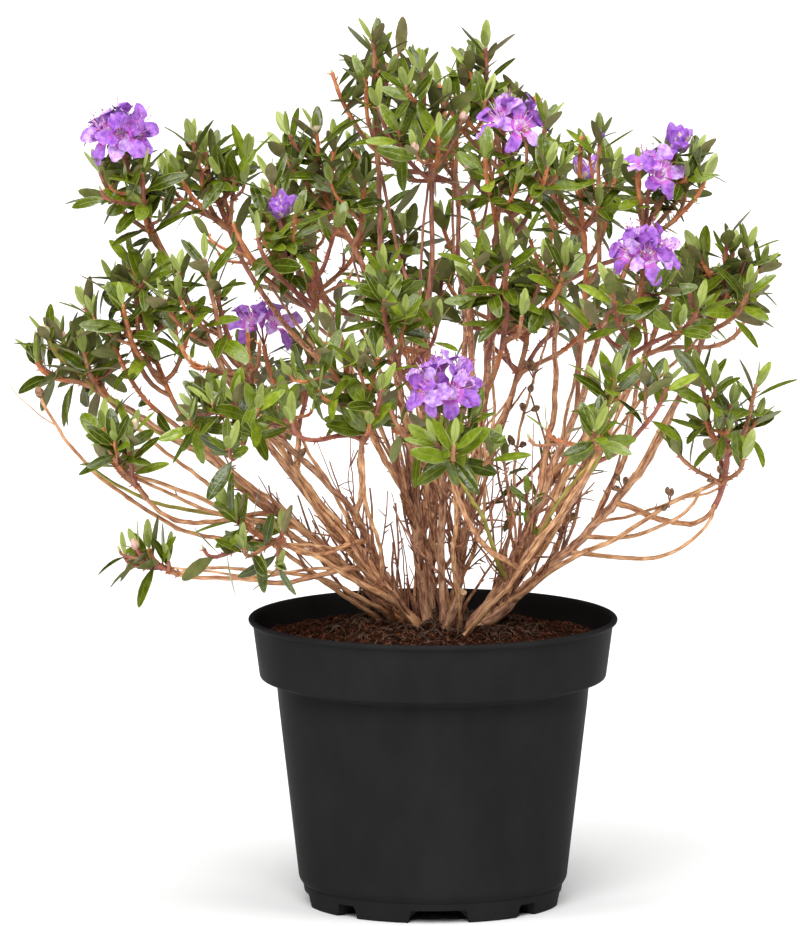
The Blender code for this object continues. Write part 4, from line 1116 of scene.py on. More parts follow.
# Bare side stems
# Between the main stems stand many thinner ones, forked off a main stem or risen from the peat
# beside it, each up to a mass of foliage. Dead twigs, spurs and one sawn stub stick out of them.
BASAL_BELOW = 430.0 * MM
SIDE_STEM_DRAWS = 10
SIDE_STEM_SIDES = 8
SIDE_STEM_STEP = 3.0 * MM
SIDE_STEM_BOW = 5.0 * MM
SIDE_STEM_GOALS = (0.05, 0.45)
SIDE_STEM_FORKS = (0.06, 0.45)
SIDE_STEM_LESS = (-4.0, 20.0)
SIDE_STEM_GNARL = 0.75
SIDE_STEM_TAPER = 0.6
SIDE_STEM_RELIEF = 0.5
OPENING_MARGIN = 1.0
BASAL_ASIDE = (5.0, 15.0)
BASAL_RISE = 38.0
BASAL_DIAMETER = (2.8, 4.6)
SIDE_DIAMETER = (2.0, 3.4)
ARCHES = (
    ("stem_far_right", 0.30, (174, -50, 258), -10, 80),
    ("stem_far_right", 0.36, (166, -58, 270), 2, 62),
    ("stem_far_left", 0.42, (-214, -40, 282), 4, 40),
)
ARCH_DIAMETERS = (3.2, 1.9)
ARCH_STEPS = 50
ARCH_GNARL = 0.5
GREEN_ARCH = 2
STUB = ((6, -28, 172), (18, -46, 203))
STUB_RADIUS = 3.1 * MM
STUB_RELIEF = 0.3
STUB_STATIONS = 16
STUB_SIDES = 12
DEAD_TWIGS = 300
TWIG_STEPS = 14
TWIG_HIGHEST = 0.45
TWIG_SLANTS = (0.2, 0.9)
TWIG_CLIMB = 0.4
TWIG_LENGTHS = (20.0, 90.0)
TWIG_WANDER = 0.07
TWIG_RISE = 0.03
TWIG_RADII = (0.5, 1.3)
TWIG_CONE = 0.9
TWIG_CONE_TIP = 130.0 * MM
SPURS = 620
SPUR_STATIONS = 5
SPUR_PLACES = (0.03, 0.75)
SPUR_LEANS = (0.2, 1.2)
SPUR_LENGTHS = (3.0, 15.0)
SPUR_BEND = 0.12
SPUR_RADII = (0.3, 0.8)


def side_stem(name, basal, draw):
    """A thin stem up to the lower part of a mass's leading shoot: from low on the limb's own stem,
    or from the peat beside that stem's foot."""
    limb = MASSES[name][0]
    if limb.startswith("bough_"):
        limb = "stem_" + BOUGHS[limb.removeprefix("bough_")][0]
    goal = place_on(shoots[name][0][0], draw.uniform(*SIDE_STEM_GOALS))
    start = place_on(paths[limb], draw.uniform(*SIDE_STEM_FORKS))
    if basal:
        turn, aside = draw.uniform(0.0, math.tau), draw.uniform(*BASAL_ASIDE) * MM
        start = paths[limb][0] + out_and_down(turn, aside, 0.0)
    level = math.hypot(goal[0] - start[0], goal[1] - start[1])
    rise = math.degrees(math.atan2(goal[2] - start[2], level))
    foot_rise = rise - draw.uniform(*SIDE_STEM_LESS)
    foot_rise = max(foot_rise, BASAL_RISE) if basal else foot_rise
    count = int(np.linalg.norm(goal - start) / SIDE_STEM_STEP)
    curve = curve_between(start, goal, foot_rise, 2 * rise - foot_rise, draw.uniform(0, 6), count)
    bow = np.array((draw.uniform(-1, 1), draw.uniform(-1, 1), 0.0)) * SIDE_STEM_BOW
    curve = curve + np.sin(np.linspace(0.0, math.pi, count + 1))[:, None] * bow
    return gnarled(curve, np.random.default_rng(draw.randrange(10 ** 6)), SIDE_STEM_GNARL)


def clearest_side_stem(name, basal):
    """Of several draws of a side stem, the one that crosses the fewest openings."""
    draw = random.Random(name + (" basal" if basal else " side"))
    drawn = [side_stem(name, basal, draw) for _ in range(SIDE_STEM_DRAWS)]
    return min(drawn, key=lambda path: in_opening(path, OPENING_MARGIN).sum())


def dead_twig_paths(carriers, chance):
    """Crooked thin twigs low in the plant: each leaves its carrier at a slant, climbs, and wanders
    by a sum of small random turns."""
    twigs = []
    for _ in range(DEAD_TWIGS):
        carrier = carriers[chance.integers(len(carriers))]
        place = TWIG_HIGHEST * chance.random() ** 1.5
        root = place_on(carrier, place)
        along = unit(place_on(carrier, place + 0.05) - root)
        aside = unit(np.cross(along, chance.normal(size=3))) * chance.uniform(*TWIG_SLANTS)
        way = unit(along + aside + UP * TWIG_CLIMB)
        step = chance.uniform(*TWIG_LENGTHS) * MM / TWIG_STEPS
        turns = np.cumsum(chance.normal(size=(TWIG_STEPS, 3)) * TWIG_WANDER, 0)
        ways = unit(way + turns + UP * TWIG_RISE * np.arange(TWIG_STEPS)[:, None])
        twigs.append(np.concatenate([root[None], root + np.cumsum(ways * step, 0)]))
    return np.stack(twigs)


def spur_paths(carriers, chance):
    """Short straight spurs with a slight bend, drawn along the lower parts of the carriers."""
    share = np.linspace(0.0, 1.0, SPUR_STATIONS)[:, None]
    spurs = []
    for _ in range(SPURS):
        carrier = carriers[chance.integers(len(carriers))]
        place = chance.uniform(*SPUR_PLACES)
        root = place_on(carrier, place)
        along = unit(place_on(carrier, place + 0.05) - root)
        side = unit(np.cross(along, chance.normal(size=3)))
        way = unit(along * chance.uniform(*SPUR_LEANS) + side)
        length = chance.uniform(*SPUR_LENGTHS) * chance.uniform(0.5, 1.0) * MM
        bend = chance.normal(size=3) * length * SPUR_BEND
        spurs.append(root + way * length * share + bend * share ** 2)
    return np.stack(spurs)


chance = np.random.default_rng(41)
side_paths, side_shapes, side_green = [], [], []
for name in MASSES:
    for basal in (False, True):
        if basal and MASSES[name][2][2] * MM >= BASAL_BELOW:
            continue
        path = clearest_side_stem(name, basal)
        foot = chance.uniform(*(BASAL_DIAMETER if basal else SIDE_DIAMETER))
        radii = taper(path, foot, SIDE_STEM_TAPER * foot)
        side_paths.append(path)
        side_green.append(name in GREEN_WOOD and not basal)
        path, radii = sunk_start(path, radii) if basal else (path, radii)
        shape = limb_shape(path, radii, chance, SIDE_STEM_RELIEF, SIDE_STEM_SIDES)
        side_shapes.append(shape)
for i, (stem, share, tip, foot_rise, tip_rise) in enumerate(ARCHES):
    root, tip = place_on(paths[stem], share), np.array(tip) * MM
    path = gnarled(curve_between(root, tip, foot_rise, tip_rise, i, ARCH_STEPS), chance,
                   ARCH_GNARL)
    side_paths.append(path)
    side_green.append(i == GREEN_ARCH)
    radii = taper(path, *ARCH_DIAMETERS)
    side_shapes.append(limb_shape(path, radii, chance, SIDE_STEM_RELIEF, SIDE_STEM_SIDES))
tan_bark = bark("tan_bark", (0.36, 0.14, 0.056), (0.95, 0.56, 0.29), 600.0, (0.6, 0.85),
                0.0008, 7.0, 0.18)
dead_bark = bark("dead_bark", (0.10, 0.034, 0.018), (0.58, 0.26, 0.14), 520.0, (0.7, 0.9),
                 0.0004, 6.0, 0.3)
add_limbs("side_stems", side_shapes, 42, [tan_bark, red_bark, green_shoot], "bark",
          green=side_green)
carriers = side_paths + [paths["stem_" + name] for name in STEMS]
twigs = dead_twig_paths(carriers, chance)
twigs = twigs[~in_opening(twigs).any(1)]
room = TWIG_CONE * (twigs[:, -1, 2] - TWIG_CONE_TIP)
twigs = twigs[np.hypot(twigs[:, -1, 0], twigs[:, -1, 1]) < room]
thinning = np.linspace(1.0, 0.5, TWIG_STEPS + 1)
radii = chance.uniform(*TWIG_RADII, len(twigs))[:, None] * thinning * MM
add_tubes("dead_inner_twigs", twigs, radii, 5, [dead_bark], slot="bark")
spurs = spur_paths(carriers + list(twigs), chance)
thinning = np.linspace(1.0, 0.55, SPUR_STATIONS)
radii = chance.uniform(*SPUR_RADII, SPURS)[:, None] * thinning * MM
add_tubes("dead_spurs", spurs, radii, 5, [dead_bark], slot="bark")
path = np.linspace(*STUB, STUB_STATIONS) * MM
radii = np.full(STUB_STATIONS, STUB_RADIUS)
points, faces, grain = limb_shape(path, radii, chance, STUB_RELIEF, STUB_SIDES)
points[-1] = points[-2 - STUB_SIDES:-2].mean(0)
cut_wood = mottled_material("cut_wood", (0.60, 0.33, 0.16), (0.82, 0.56, 0.34), 500.0, (0.6, 0.8))
cut_faces = np.arange(len(faces)) >= len(faces) - STUB_SIDES
add_piece("sawn_stub", points, faces, [old_bark, cut_wood], cut_faces, slot="bark", grain=grain)

# Leaves
# Small leathery evergreen leaves, blunt ovals on short stalks, in a whorl at each shoot's tip.
# They are glossy green above with a pale midrib and dull olive below, and the youngest stand
# upright in the middle. Their faces take plain greens, dealt by chance. A paler green strip along
# each margin is painted rim light, the glow of light through the thin edge.
LEAF_LENGTH = 28.0 * MM
LEAF_WIDTH = 8.9 * MM
LEAF_THICKNESS = 0.35 * MM
LEAF_HANG = 38.0 * MM
LEAF_STATIONS = np.array((0.09, 0.22, 0.40, 0.60, 0.80, 0.945))
LEAF_RING = np.array((1.0, 0.9, 0.5, 0.05, -0.05, -0.5, -0.9, -1.0, -0.07, 0.07))
# Kinds of the cells round a leaf: 0 upper face, 1 midrib, 2 underside, 3 margin strip, which is
# painted paler as rim light, the glow of light through the thin edge.
LEAF_KINDS = np.array((3, 0, 0, 1, 0, 0, 3, 2, 1, 2))
YOUNG_TONE = 4
LEAVES_PER_SHOOT = 13
LEAF_ORDER = np.arange(LEAVES_PER_SHOOT)
LEAF_DISTANCES = (0.6 + 1.5 * LEAF_ORDER + 0.27 * LEAF_ORDER ** 2) * MM
LEAF_TILTS = np.minimum(12.0 + 8.5 * LEAF_ORDER, 84.0)
LEAF_SIZES = np.minimum(0.58 + 0.13 * LEAF_ORDER, 1.0)
LEAF_BENDS = np.radians(6.0 + 3.0 * LEAF_ORDER)
BLOSSOM_TILTS = np.minimum(66.0 + 3.5 * LEAF_ORDER, 100.0)
BLOSSOM_GAP = 4.0 * MM
LEAF_SPACING = 0.9
FINE_SPACING = 0.7
LEAFY_SHARE = 0.8
LEAF_MARKS = np.array((0.4, 0.75, 1.0))[:, None, None]
SIZE_RANGE = (0.86, 1.12)
WIDTH_RANGE = (0.88, 1.14)
BEND_RANGE = (0.5, 1.5)
FOLD_RANGE = (0.22, 0.55)
USUAL_TONE = 1.3
UNDERSIDES = (0.6, 0.4)
FINE_LEAVES = 0.9
FLOWER_LEAVES = 0.92
SUCKER_LEAVES = 0.62
GAP_MARGIN = 2.5
BLOOM_RISE = 8 * MM
BLOOMS = np.stack([tip_of(*key)[0] + UP * BLOOM_RISE for key in (*TRUSSES, *HALF_OPEN)])
BLOOM_PIXELS = np.array([24.0] * len(TRUSSES) + [13.0] * len(HALF_OPEN))


def spiral_blades(path, chance, distances, tilts):
    """Roots and axes of blades in a golden-angle spiral down a shoot: at each distance from its
    tip, tilted out from the shoot, with their upper face towards the tip. Gives for each the
    root, and the directions along it, across it and out of its upper face."""
    count = len(distances)
    place, axis = back_along(path, distances)
    side = unit(np.cross(axis, SLANT))
    angle = chance.uniform(0.0, math.tau) + np.arange(count) * GOLDEN_ANGLE
    angle = angle + chance.uniform(-0.25, 0.25, count)
    radial = spokes_round(side, np.cross(axis, side), angle)
    tilt = np.radians(tilts)[:, None]
    along = unit(axis * np.cos(tilt) + radial * np.sin(tilt))
    across = unit(np.cross(axis - radial * 0.2, along))
    roll = chance.uniform(-0.4, 0.4, (count, 1))
    rolled = across * np.cos(roll) + np.cross(along, across) * np.sin(roll)
    return np.stack([place, along, rolled, np.cross(along, rolled)], 1)


def blade_points(frames, lengths, bends, stations, half, ring, lift):
    """Points of many thin blades, each a flat tube of rings with a point at each end. It follows
    an arc that turns back by its bend. Its rings stand at the stations, half is half its width
    there, ring gives the place of each ring point from edge to edge and back below, and lift is
    its height over the arc."""
    turn = bends[:, None] + 1e-4
    root, along, across, normal = (frames[:, i][:, None] for i in range(4))

    def spine(share):
        """The leaf's middle line: ahead by sine and back by one less cosine of its turn."""
        ahead = lengths[:, None] * np.sin(turn * share) / turn
        back = lengths[:, None] * (1.0 - np.cos(turn * share)) / turn
        return root + along * ahead[..., None] - normal * back[..., None]

    aside = (half[..., None] * ring)[..., None]
    rings = (spine(stations[None])[:, :, None] + across[:, :, None] * aside
             + normal[:, :, None] * lift[..., None])
    ends = spine(np.array((0.0, 1.0))[None])
    return np.concatenate([rings.reshape(len(frames), -1, 3), ends], 1)


def leaf_points(frames, lengths, widths, bends, fold):
    """Points of many leaves. Half the width is a blunt arch over a narrow stalk. Each half rises
    from the midrib and turns down to its margin, and below it is one thickness lower."""
    u = LEAF_STATIONS[None]
    x = (u - 0.04) / 0.96
    outline = (4.0 * x * (1.0 - x)) ** 0.6 * np.minimum(u / 0.3, 1.0) ** 0.8
    half = 0.5 * widths[:, None] * outline
    v = LEAF_RING[None, None]
    rise = half[..., None] * (fold[:, None, None] * np.abs(v) - 0.34 * v ** 2)
    rise[..., 8:] = -LEAF_THICKNESS
    return blade_points(frames, lengths, bends, LEAF_STATIONS, half, LEAF_RING, rise)


def cells_of(rows, ring):
    """For each face of a blade, the number of its cell along its ring, and of its row: -1 for the
    fan at its foot, and one past the last row for the fan at its tip."""
    near = np.arange(ring)
    column = np.concatenate([np.repeat(np.tile(near, rows - 1), 2), near, near])
    row = np.concatenate([np.repeat(np.arange(rows - 1), 2 * ring), np.full(ring, -1),
                          np.full(ring, rows - 1)])
    return column, row


def shoot_leaves(name, number, run, chance):
    """Frames, lengths, widths, bends and tones of the leaves of one shoot. Left out are those that
    reach out of their mass, lie too far down a short shoot, cross an opening, hang under the
    crown or hide a flower."""
    in_flower = (name, number) in TRUSSES or (name, number) in HALF_OPEN
    rosette = FIRST_ROSETTE <= number < FIRST_SUCKER
    sucker = FIRST_SUCKER <= number < FIRST_SUCKER + FINE_NUMBER
    leading = number < FINE_NUMBER or rosette
    tilts = (BLOSSOM_TILTS if in_flower else LEAF_TILTS) + chance.uniform(-9, 9, LEAVES_PER_SHOOT)
    distances = LEAF_DISTANCES * (LEAF_SPACING if leading else FINE_SPACING)
    distances = distances + (BLOSSOM_GAP if in_flower else 0)
    blades = spiral_blades(run, chance, distances, tilts)
    size = LEAF_LENGTH * chance.uniform(*SIZE_RANGE, LEAVES_PER_SHOOT)
    size = size * (FLOWER_LEAVES if in_flower else LEAF_SIZES)
    size = size * (1.0 if leading else FINE_LEAVES) * (SUCKER_LEAVES if sucker else 1.0)
    root, along = blades[:, 0], blades[:, 1]
    marks = root + along * size[:, None] * LEAF_MARKS
    own = np.array([rosette or sucker or in_own_space(name, tip) for tip in marks[-1]])
    low = (root[:, 2] < shoots[name][0][0][-1, 2] - LEAF_HANG) & (number < FIRST_ROSETTE)
    away = np.linalg.norm(picture_place(marks)[..., None, :] - picture_place(BLOOMS), axis=-1)
    hides = (away < BLOOM_PIXELS) & (marks[..., None, 1] < BLOOMS[:, 1]) & (not in_flower)
    near = distances < LEAFY_SHARE * np.linalg.norm(run[-1] - run[0])
    crosses = in_opening(marks, GAP_MARGIN).any(0)
    keep = own & near & ~low & ~crosses & ~hides.any((0, 2))
    tone = chance.normal(USUAL_TONE + chance.uniform(-0.5, 0.5), 0.8, LEAVES_PER_SHOOT)
    tone = np.clip(np.round(tone), 0, 3).astype(int)
    tone = np.where((LEAF_ORDER < 2) & (not in_flower), YOUNG_TONE, tone)
    width = size * LEAF_WIDTH / LEAF_LENGTH * chance.uniform(*WIDTH_RANGE, LEAVES_PER_SHOOT)
    bend = LEAF_BENDS * chance.uniform(*BEND_RANGE, LEAVES_PER_SHOOT)
    return [values[keep] for values in (blades, size, width, bend, tone)]


LEAF_GREENS = {
    "leaf_deep": ((0.030, 0.044, 0.001), (0.058, 0.082, 0.002), 260.0, (0.17, 0.28)),
    "leaf_dark": ((0.060, 0.086, 0.002), (0.102, 0.140, 0.004), 260.0, (0.18, 0.29)),
    "leaf_mid": ((0.106, 0.150, 0.004), (0.172, 0.232, 0.009), 260.0, (0.19, 0.30)),
    "leaf_fresh": ((0.185, 0.25, 0.010), (0.28, 0.355, 0.024), 260.0, (0.20, 0.31)),
}
leaf_tones = [mottled_material(name, *finish, bump=0.0007, Specular_IOR_Level=0.5)
              for name, finish in LEAF_GREENS.items()]
leaf_tones += [
    mottled_material("leaf_young", (0.26, 0.32, 0.06), (0.38, 0.44, 0.12), 120.0, (0.35, 0.5),
                     bump=0.0001),
    mottled_material("midrib_green", (0.13, 0.175, 0.02), (0.21, 0.26, 0.045), 90.0, (0.3, 0.45)),
    # The margin strips' paler green is painted rim light, standing for light that glows through the
    # thin leaf edge.
    mottled_material("painted_rim_light_green", (0.16, 0.20, 0.03), (0.27, 0.30, 0.07), 90.0, (0.3, 0.45)),
    mottled_material("under_olive", (0.135, 0.15, 0.03), (0.22, 0.225, 0.065), 160.0, (0.5, 0.7),
                     bump=0.0001),
    mottled_material("under_grey", (0.19, 0.165, 0.065), (0.30, 0.255, 0.12), 160.0, (0.55, 0.75),
                     bump=0.0001),
]
grown = []
for name in MASSES:
    chance = drawn_from(name)
    grown += [shoot_leaves(name, number, run, chance) for number, (run, _) in shoots[name].items()]
frames, lengths, widths, bends, tones = map(np.concatenate, zip(*grown))
chance = np.random.default_rng(53)
fold = chance.uniform(*FOLD_RANGE, len(frames))
leaves = leaf_points(frames, lengths, widths, bends, fold)
one_leaf = capped_grid(len(LEAF_STATIONS), len(LEAF_RING))
column, _ = cells_of(len(LEAF_STATIONS), len(LEAF_RING))
kinds = LEAF_KINDS[column][None]
under = chance.choice((7, 8), len(frames), p=UNDERSIDES)
under = np.where(tones == YOUNG_TONE, YOUNG_TONE, under)
index = np.select([kinds == 0, kinds == 1, kinds == 2], [tones[:, None], 5, under[:, None]], 6)
thirds = np.array_split(np.arange(len(frames)), 3)
for piece, part in zip(("leaves_top", "leaves_front", "leaves_back"), thirds):
    add_piece(piece, leaves[part].reshape(-1, 3), repeated(one_leaf, leaves.shape[1], len(part)),
              leaf_tones, index[part].ravel())

# Blossom
# Open violet flowers in loose trusses on some shoots: five wavy petals, paler at the heart with a
# magenta ring and a magenta nerve. Each petal is thin, soft and a little hollow.
PETALS = 5
PETAL_LENGTH = 17.2 * MM
PETAL_WIDTH = 9.2 * MM
PETAL_THICKNESS = 0.3 * MM
PETAL_STATIONS = np.array((0.06, 0.2, 0.36, 0.52, 0.68, 0.84, 0.96))
PETAL_RING = np.array((1.0, 0.55, 0.1, -0.1, -0.55, -1.0, -0.5, 0.0, 0.5))
PETAL_ROOT = 2.0 * MM
PETAL_TILTS = (38.0, 56.0)
PETAL_BENDS = (20.0, 85.0)
NERVE_COLUMN = 2
PETAL_TONES = (0.45, 0.35, 0.2)
THROAT_LENGTH = 5.0 * MM
STALK_LENGTH = 11.5 * MM


def petal_points(frames, lengths, widths, bends, chance):
    """Points of many petals. Half the width is a full arch that is widest past the middle, over a
    narrow foot. The edges rise in four waves whose phase is drawn for each side, and the petal
    is slightly hollow."""
    u = PETAL_STATIONS[None]
    x = u ** 1.3
    half = 0.5 * widths[:, None] * np.maximum((4.0 * x * (1.0 - x)) ** 0.5, 0.28)
    wave = math.tau * 2.7 * u + chance.uniform(0, 6, (len(frames), 1))
    half = half * (1.0 + 0.13 * u * np.sin(wave))
    v = PETAL_RING[None, None]
    phase = chance.uniform(0.0, math.tau, (2, len(frames), 1, 1))
    swing = np.sin(math.tau * 1.9 * u[..., None] + np.where(v > 0, phase[0], phase[1]))
    lift = half[..., None] * (0.2 * v ** 2 + 0.55 * np.abs(v) ** 1.5 * swing * u[..., None])
    lift[..., 6:] -= PETAL_THICKNESS
    return blade_points(frames, lengths, bends, PETAL_STATIONS, half, PETAL_RING, lift)


def around(axis, count, turn):
    """Unit directions square to an axis, evenly round it from a given turn."""
    side = unit(np.cross(axis, (0.31, 0.2, 0.93)))
    return spokes_round(side, np.cross(axis, side), turn + np.arange(count) * math.tau / count)


def truss_flowers(tip, axis, count, tilt, facing, chance):
    """Hearts and axes of a truss's flowers: each leans out from the truss's own direction by the
    tilt and turns towards the light, at the end of a short stalk."""
    way = unit(unit(np.array(facing)) + 0.5 * axis)
    lean = math.radians(tilt)
    out = around(way, count, chance.uniform(0.0, math.tau))
    axes = unit(way * math.cos(lean) + out * math.sin(lean) + chance.normal(size=(count, 3)) * 0.08)
    stalk = unit(0.7 * axes + 0.6 * axis)
    return tip + stalk * STALK_LENGTH + axes * THROAT_LENGTH, axes, np.repeat(tip[None], count, 0)


def petal_frames(heart, axis, chance):
    """Roots and axes of the petals of one flower, which open evenly round its axis."""
    radial = around(axis, PETALS, chance.uniform(0.0, math.tau))
    tilt = np.radians(chance.uniform(*PETAL_TILTS, (PETALS, 1)))
    along = unit(axis * np.cos(tilt) + radial * np.sin(tilt))
    across = unit(np.cross(axis, radial) + chance.normal(size=(PETALS, 3)) * 0.12)
    across = unit(across - along * (across * along).sum(-1, keepdims=True))
    return np.stack([heart + radial * PETAL_ROOT, along, across, np.cross(along, across)], 1)


chance = np.random.default_rng(61)
hearts, axes, tips = map(np.concatenate, zip(*(
    truss_flowers(*tip_of(*key), *sizes, chance) for key, sizes in TRUSSES.items())))
frames = np.concatenate([petal_frames(heart, axis, chance) for heart, axis in zip(hearts, axes)])
count = len(frames)
size = chance.uniform(0.88, 1.12, count)
width = PETAL_WIDTH * size * chance.uniform(0.9, 1.15, count)
bend = np.radians(chance.uniform(*PETAL_BENDS, count))
petals = petal_points(frames, PETAL_LENGTH * size, width, bend, chance)
one_petal = capped_grid(len(PETAL_STATIONS), len(PETAL_RING))
column, row = cells_of(len(PETAL_STATIONS), len(PETAL_RING))
zone = np.select([row < 1, row < 2, (column == NERVE_COLUMN) & (row < 3)], [0, 1, 1], 2)
tone = chance.choice((2, 3, 4), count, p=PETAL_TONES)
index = np.where(zone[None] < 2, zone[None], tone[:, None])
petal_heart = mottled_material("petal_heart", (0.62, 0.34, 0.66), (0.80, 0.60, 0.82), 200.0,
                               (0.5, 0.65))
petal_magenta = mottled_material("petal_magenta", (0.42, 0.065, 0.46), (0.62, 0.17, 0.64), 200.0,
                                 (0.5, 0.65))
petal_violet = mottled_material("petal_violet", (0.25, 0.062, 0.47), (0.47, 0.21, 0.69), 320.0,
                                (0.45, 0.6), bump=0.0004)
petal_lilac = mottled_material("petal_lilac", (0.37, 0.15, 0.60), (0.68, 0.46, 0.84), 320.0,
                               (0.45, 0.6), bump=0.0004)
petal_deep = mottled_material("petal_deep", (0.15, 0.025, 0.27), (0.31, 0.09, 0.48), 320.0,
                              (0.45, 0.6), bump=0.0004)
add_piece("petals", petals.reshape(-1, 3), repeated(one_petal, petals.shape[1], count),
          [petal_heart, petal_magenta, petal_violet, petal_lilac, petal_deep], index.ravel())

# Throats, stalks and stamens
# Each flower stands on a reddish stalk, its petals meet in a short violet funnel, and stamens
# with dusky pink anthers curve out of it round one longer magenta style.
FUNNEL_RADII = np.array((1.0, 1.5, 2.1, 2.7, 2.9)) * MM
FUNNEL_SIDES = 10
STALK_RADIUS = 0.65 * MM
STALK_SAG = 0.35
STAMENS = 8
STAMEN_SIDES = 4
STAMEN_CURL = 0.22
STAMEN_LEANS = (12.0, 34.0)
STAMEN_LENGTHS = (9.0, 13.0)
STAMEN_RADII = np.linspace(0.26, 0.2, 6) * MM
STYLE_LEAN = 20.0
STYLE_LENGTH = 15.5
ANTHER_SIZE = (0.55 * MM, 0.8 * MM)


share = np.linspace(0.0, 1.0, len(FUNNEL_RADII))[None, :, None]
feet = hearts - axes * THROAT_LENGTH
funnels = feet[:, None] + axes[:, None] * (THROAT_LENGTH + MM) * share
add_tubes("flower_funnels", funnels, FUNNEL_RADII, FUNNEL_SIDES, [petal_magenta])
bend = (STALK_SAG * np.linalg.norm(feet - tips, axis=-1))[:, None, None] * axes[:, None]
stalks = tips[:, None] + (feet - tips)[:, None] * share - bend * share * (1.0 - share)
add_tubes("flower_stalks", stalks, STALK_RADIUS, 6, [red_shoot])
threads = []
for heart, axis in zip(hearts, axes):
    lean = np.radians(np.append(chance.uniform(*STAMEN_LEANS, STAMENS), STYLE_LEAN))[:, None]
    radial = around(axis, STAMENS + 1, chance.uniform(0.0, math.tau))
    way = axis * np.cos(lean) + radial * np.sin(lean)
    length = np.append(chance.uniform(*STAMEN_LENGTHS, STAMENS), STYLE_LENGTH) * MM
    length = length[:, None, None]
    share = np.linspace(0.0, 1.0, len(STAMEN_RADII))[None, :, None]
    lift = (STAMEN_CURL * length * share ** 2) * UP
    threads.append(heart - axis * MM + way[:, None] * length * share + lift)
threads = np.concatenate(threads)
is_style = np.tile(np.arange(STAMENS + 1) == STAMENS, len(hearts))
filament_pink = mottled_material("filament_pink", (0.72, 0.40, 0.66), (0.88, 0.66, 0.84), 300.0,
                                 (0.4, 0.55))
anther_dusky = mottled_material("anther_dusky", (0.30, 0.07, 0.09), (0.50, 0.18, 0.16), 400.0,
                                (0.6, 0.75))
add_tubes("stamens_and_styles", threads, STAMEN_RADII, STAMEN_SIDES,
          [filament_pink, petal_magenta],
          np.repeat(is_style, 2 * STAMEN_SIDES * len(STAMEN_RADII)))
add_piece("anthers", *crumb_shapes(threads[:, -1], chance, ANTHER_SIZE, sink=0.5), [anther_dusky])

# Half open flowers
# Tubular violet flowers that have not opened yet, in clusters of a few, with cream feet and some
# cream stripes up their sides where one petal laps over the next.
HALF_OPEN_LEANS = (6.0, 42.0)
HALF_OPEN_ROOT = 2.0 * MM
HALF_OPEN_LENGTHS = (14.0, 19.0)
HALF_OPEN_WIDTH = 0.46
PALE_SHARE = 0.42
PALE_ROWS = 6


def half_open_buds(name, number, count, chance):
    """Feet, axes and lengths of the half open flowers of one truss, which lean to the front."""
    tip, axis = tip_of(name, number)
    lean = np.radians(chance.uniform(*HALF_OPEN_LEANS, count))[:, None]
    way = unit(axis + np.array((0.0, -0.9, 0.1)))
    out = unit(way * np.cos(lean) + around(way, count, chance.uniform(0.0, 1.0)) * np.sin(lean))
    return tip + out * HALF_OPEN_ROOT, out, chance.uniform(*HALF_OPEN_LENGTHS, count) * MM


feet, axes, sizes = map(np.concatenate, zip(*(
    half_open_buds(*key, count, chance) for key, count in HALF_OPEN.items())))
points, faces = ribbed_husk(feet, axes, sizes, HALF_OPEN_WIDTH * sizes, PETALS, chance,
                            open_top=0.16)
_, row = cells_of(HUSK_ROWS, HUSK_COLUMNS)
stripes = (chance.random((len(feet), HUSK_COLUMNS)) < PALE_SHARE).repeat(2, 1)
pale = np.tile(stripes, HUSK_ROWS) & (row >= 0) & (row < PALE_ROWS)
index = np.where(pale, 0, np.select([row < 2, row < 3], [0, 1], 2))
petal_cream = mottled_material("petal_cream", (0.62, 0.48, 0.40), (0.82, 0.72, 0.62), 260.0,
                               (0.5, 0.65))
add_piece("half_open_buds", points, faces, [petal_cream, petal_lilac, petal_violet], index.ravel())

# Buds and dry capsules
# Cream and pink scaly flower buds close a few shoots, a small green bud closes most of the
# others, and last year's split capsules stand in twos to fours on the bare wood.
BUD_PLACES = ((38, 320, 0), (135, 425, 0), (316, 122, 0), (72, 343, 1), (135, 547, 1),
              (470, 130, 1), (420, 190, 1), (440, 180, 1), (597, 135, 2))
BUD_LENGTHS = np.array((9.5, 8.0, 8.0)) * MM
BUD_WIDTH = 0.68
BLOOM_CLEARANCE = 4 * MM
LEAF_BUD_LENGTHS = (3.2, 5.2)
LEAF_BUD_WIDTH = 0.42
CAPSULE_PLACES = ((280, 282), (298, 462), (525, 378), (520, 415), (524, 448), (548, 448),
                  (632, 495), (662, 490), (718, 460))
CAPSULE_LENGTHS = (5.5, 8.0)
CAPSULE_RANGE = (3.0, 7.0)
CAPSULE_FOOT = 7.5 * MM
CAPSULE_STALK = 8.5 * MM
CAPSULE_STALK_RADIUS = 0.5 * MM
BACK_COST = 0.15


def picture_gaps(points, across, down):
    """How far points stand from a place in the front view, in its pixels. Those at the back count
    as farther, so that the one in front is taken."""
    return np.hypot(*(picture_place(points) - (across, down)).T) + BACK_COST * points[:, 1] / MM


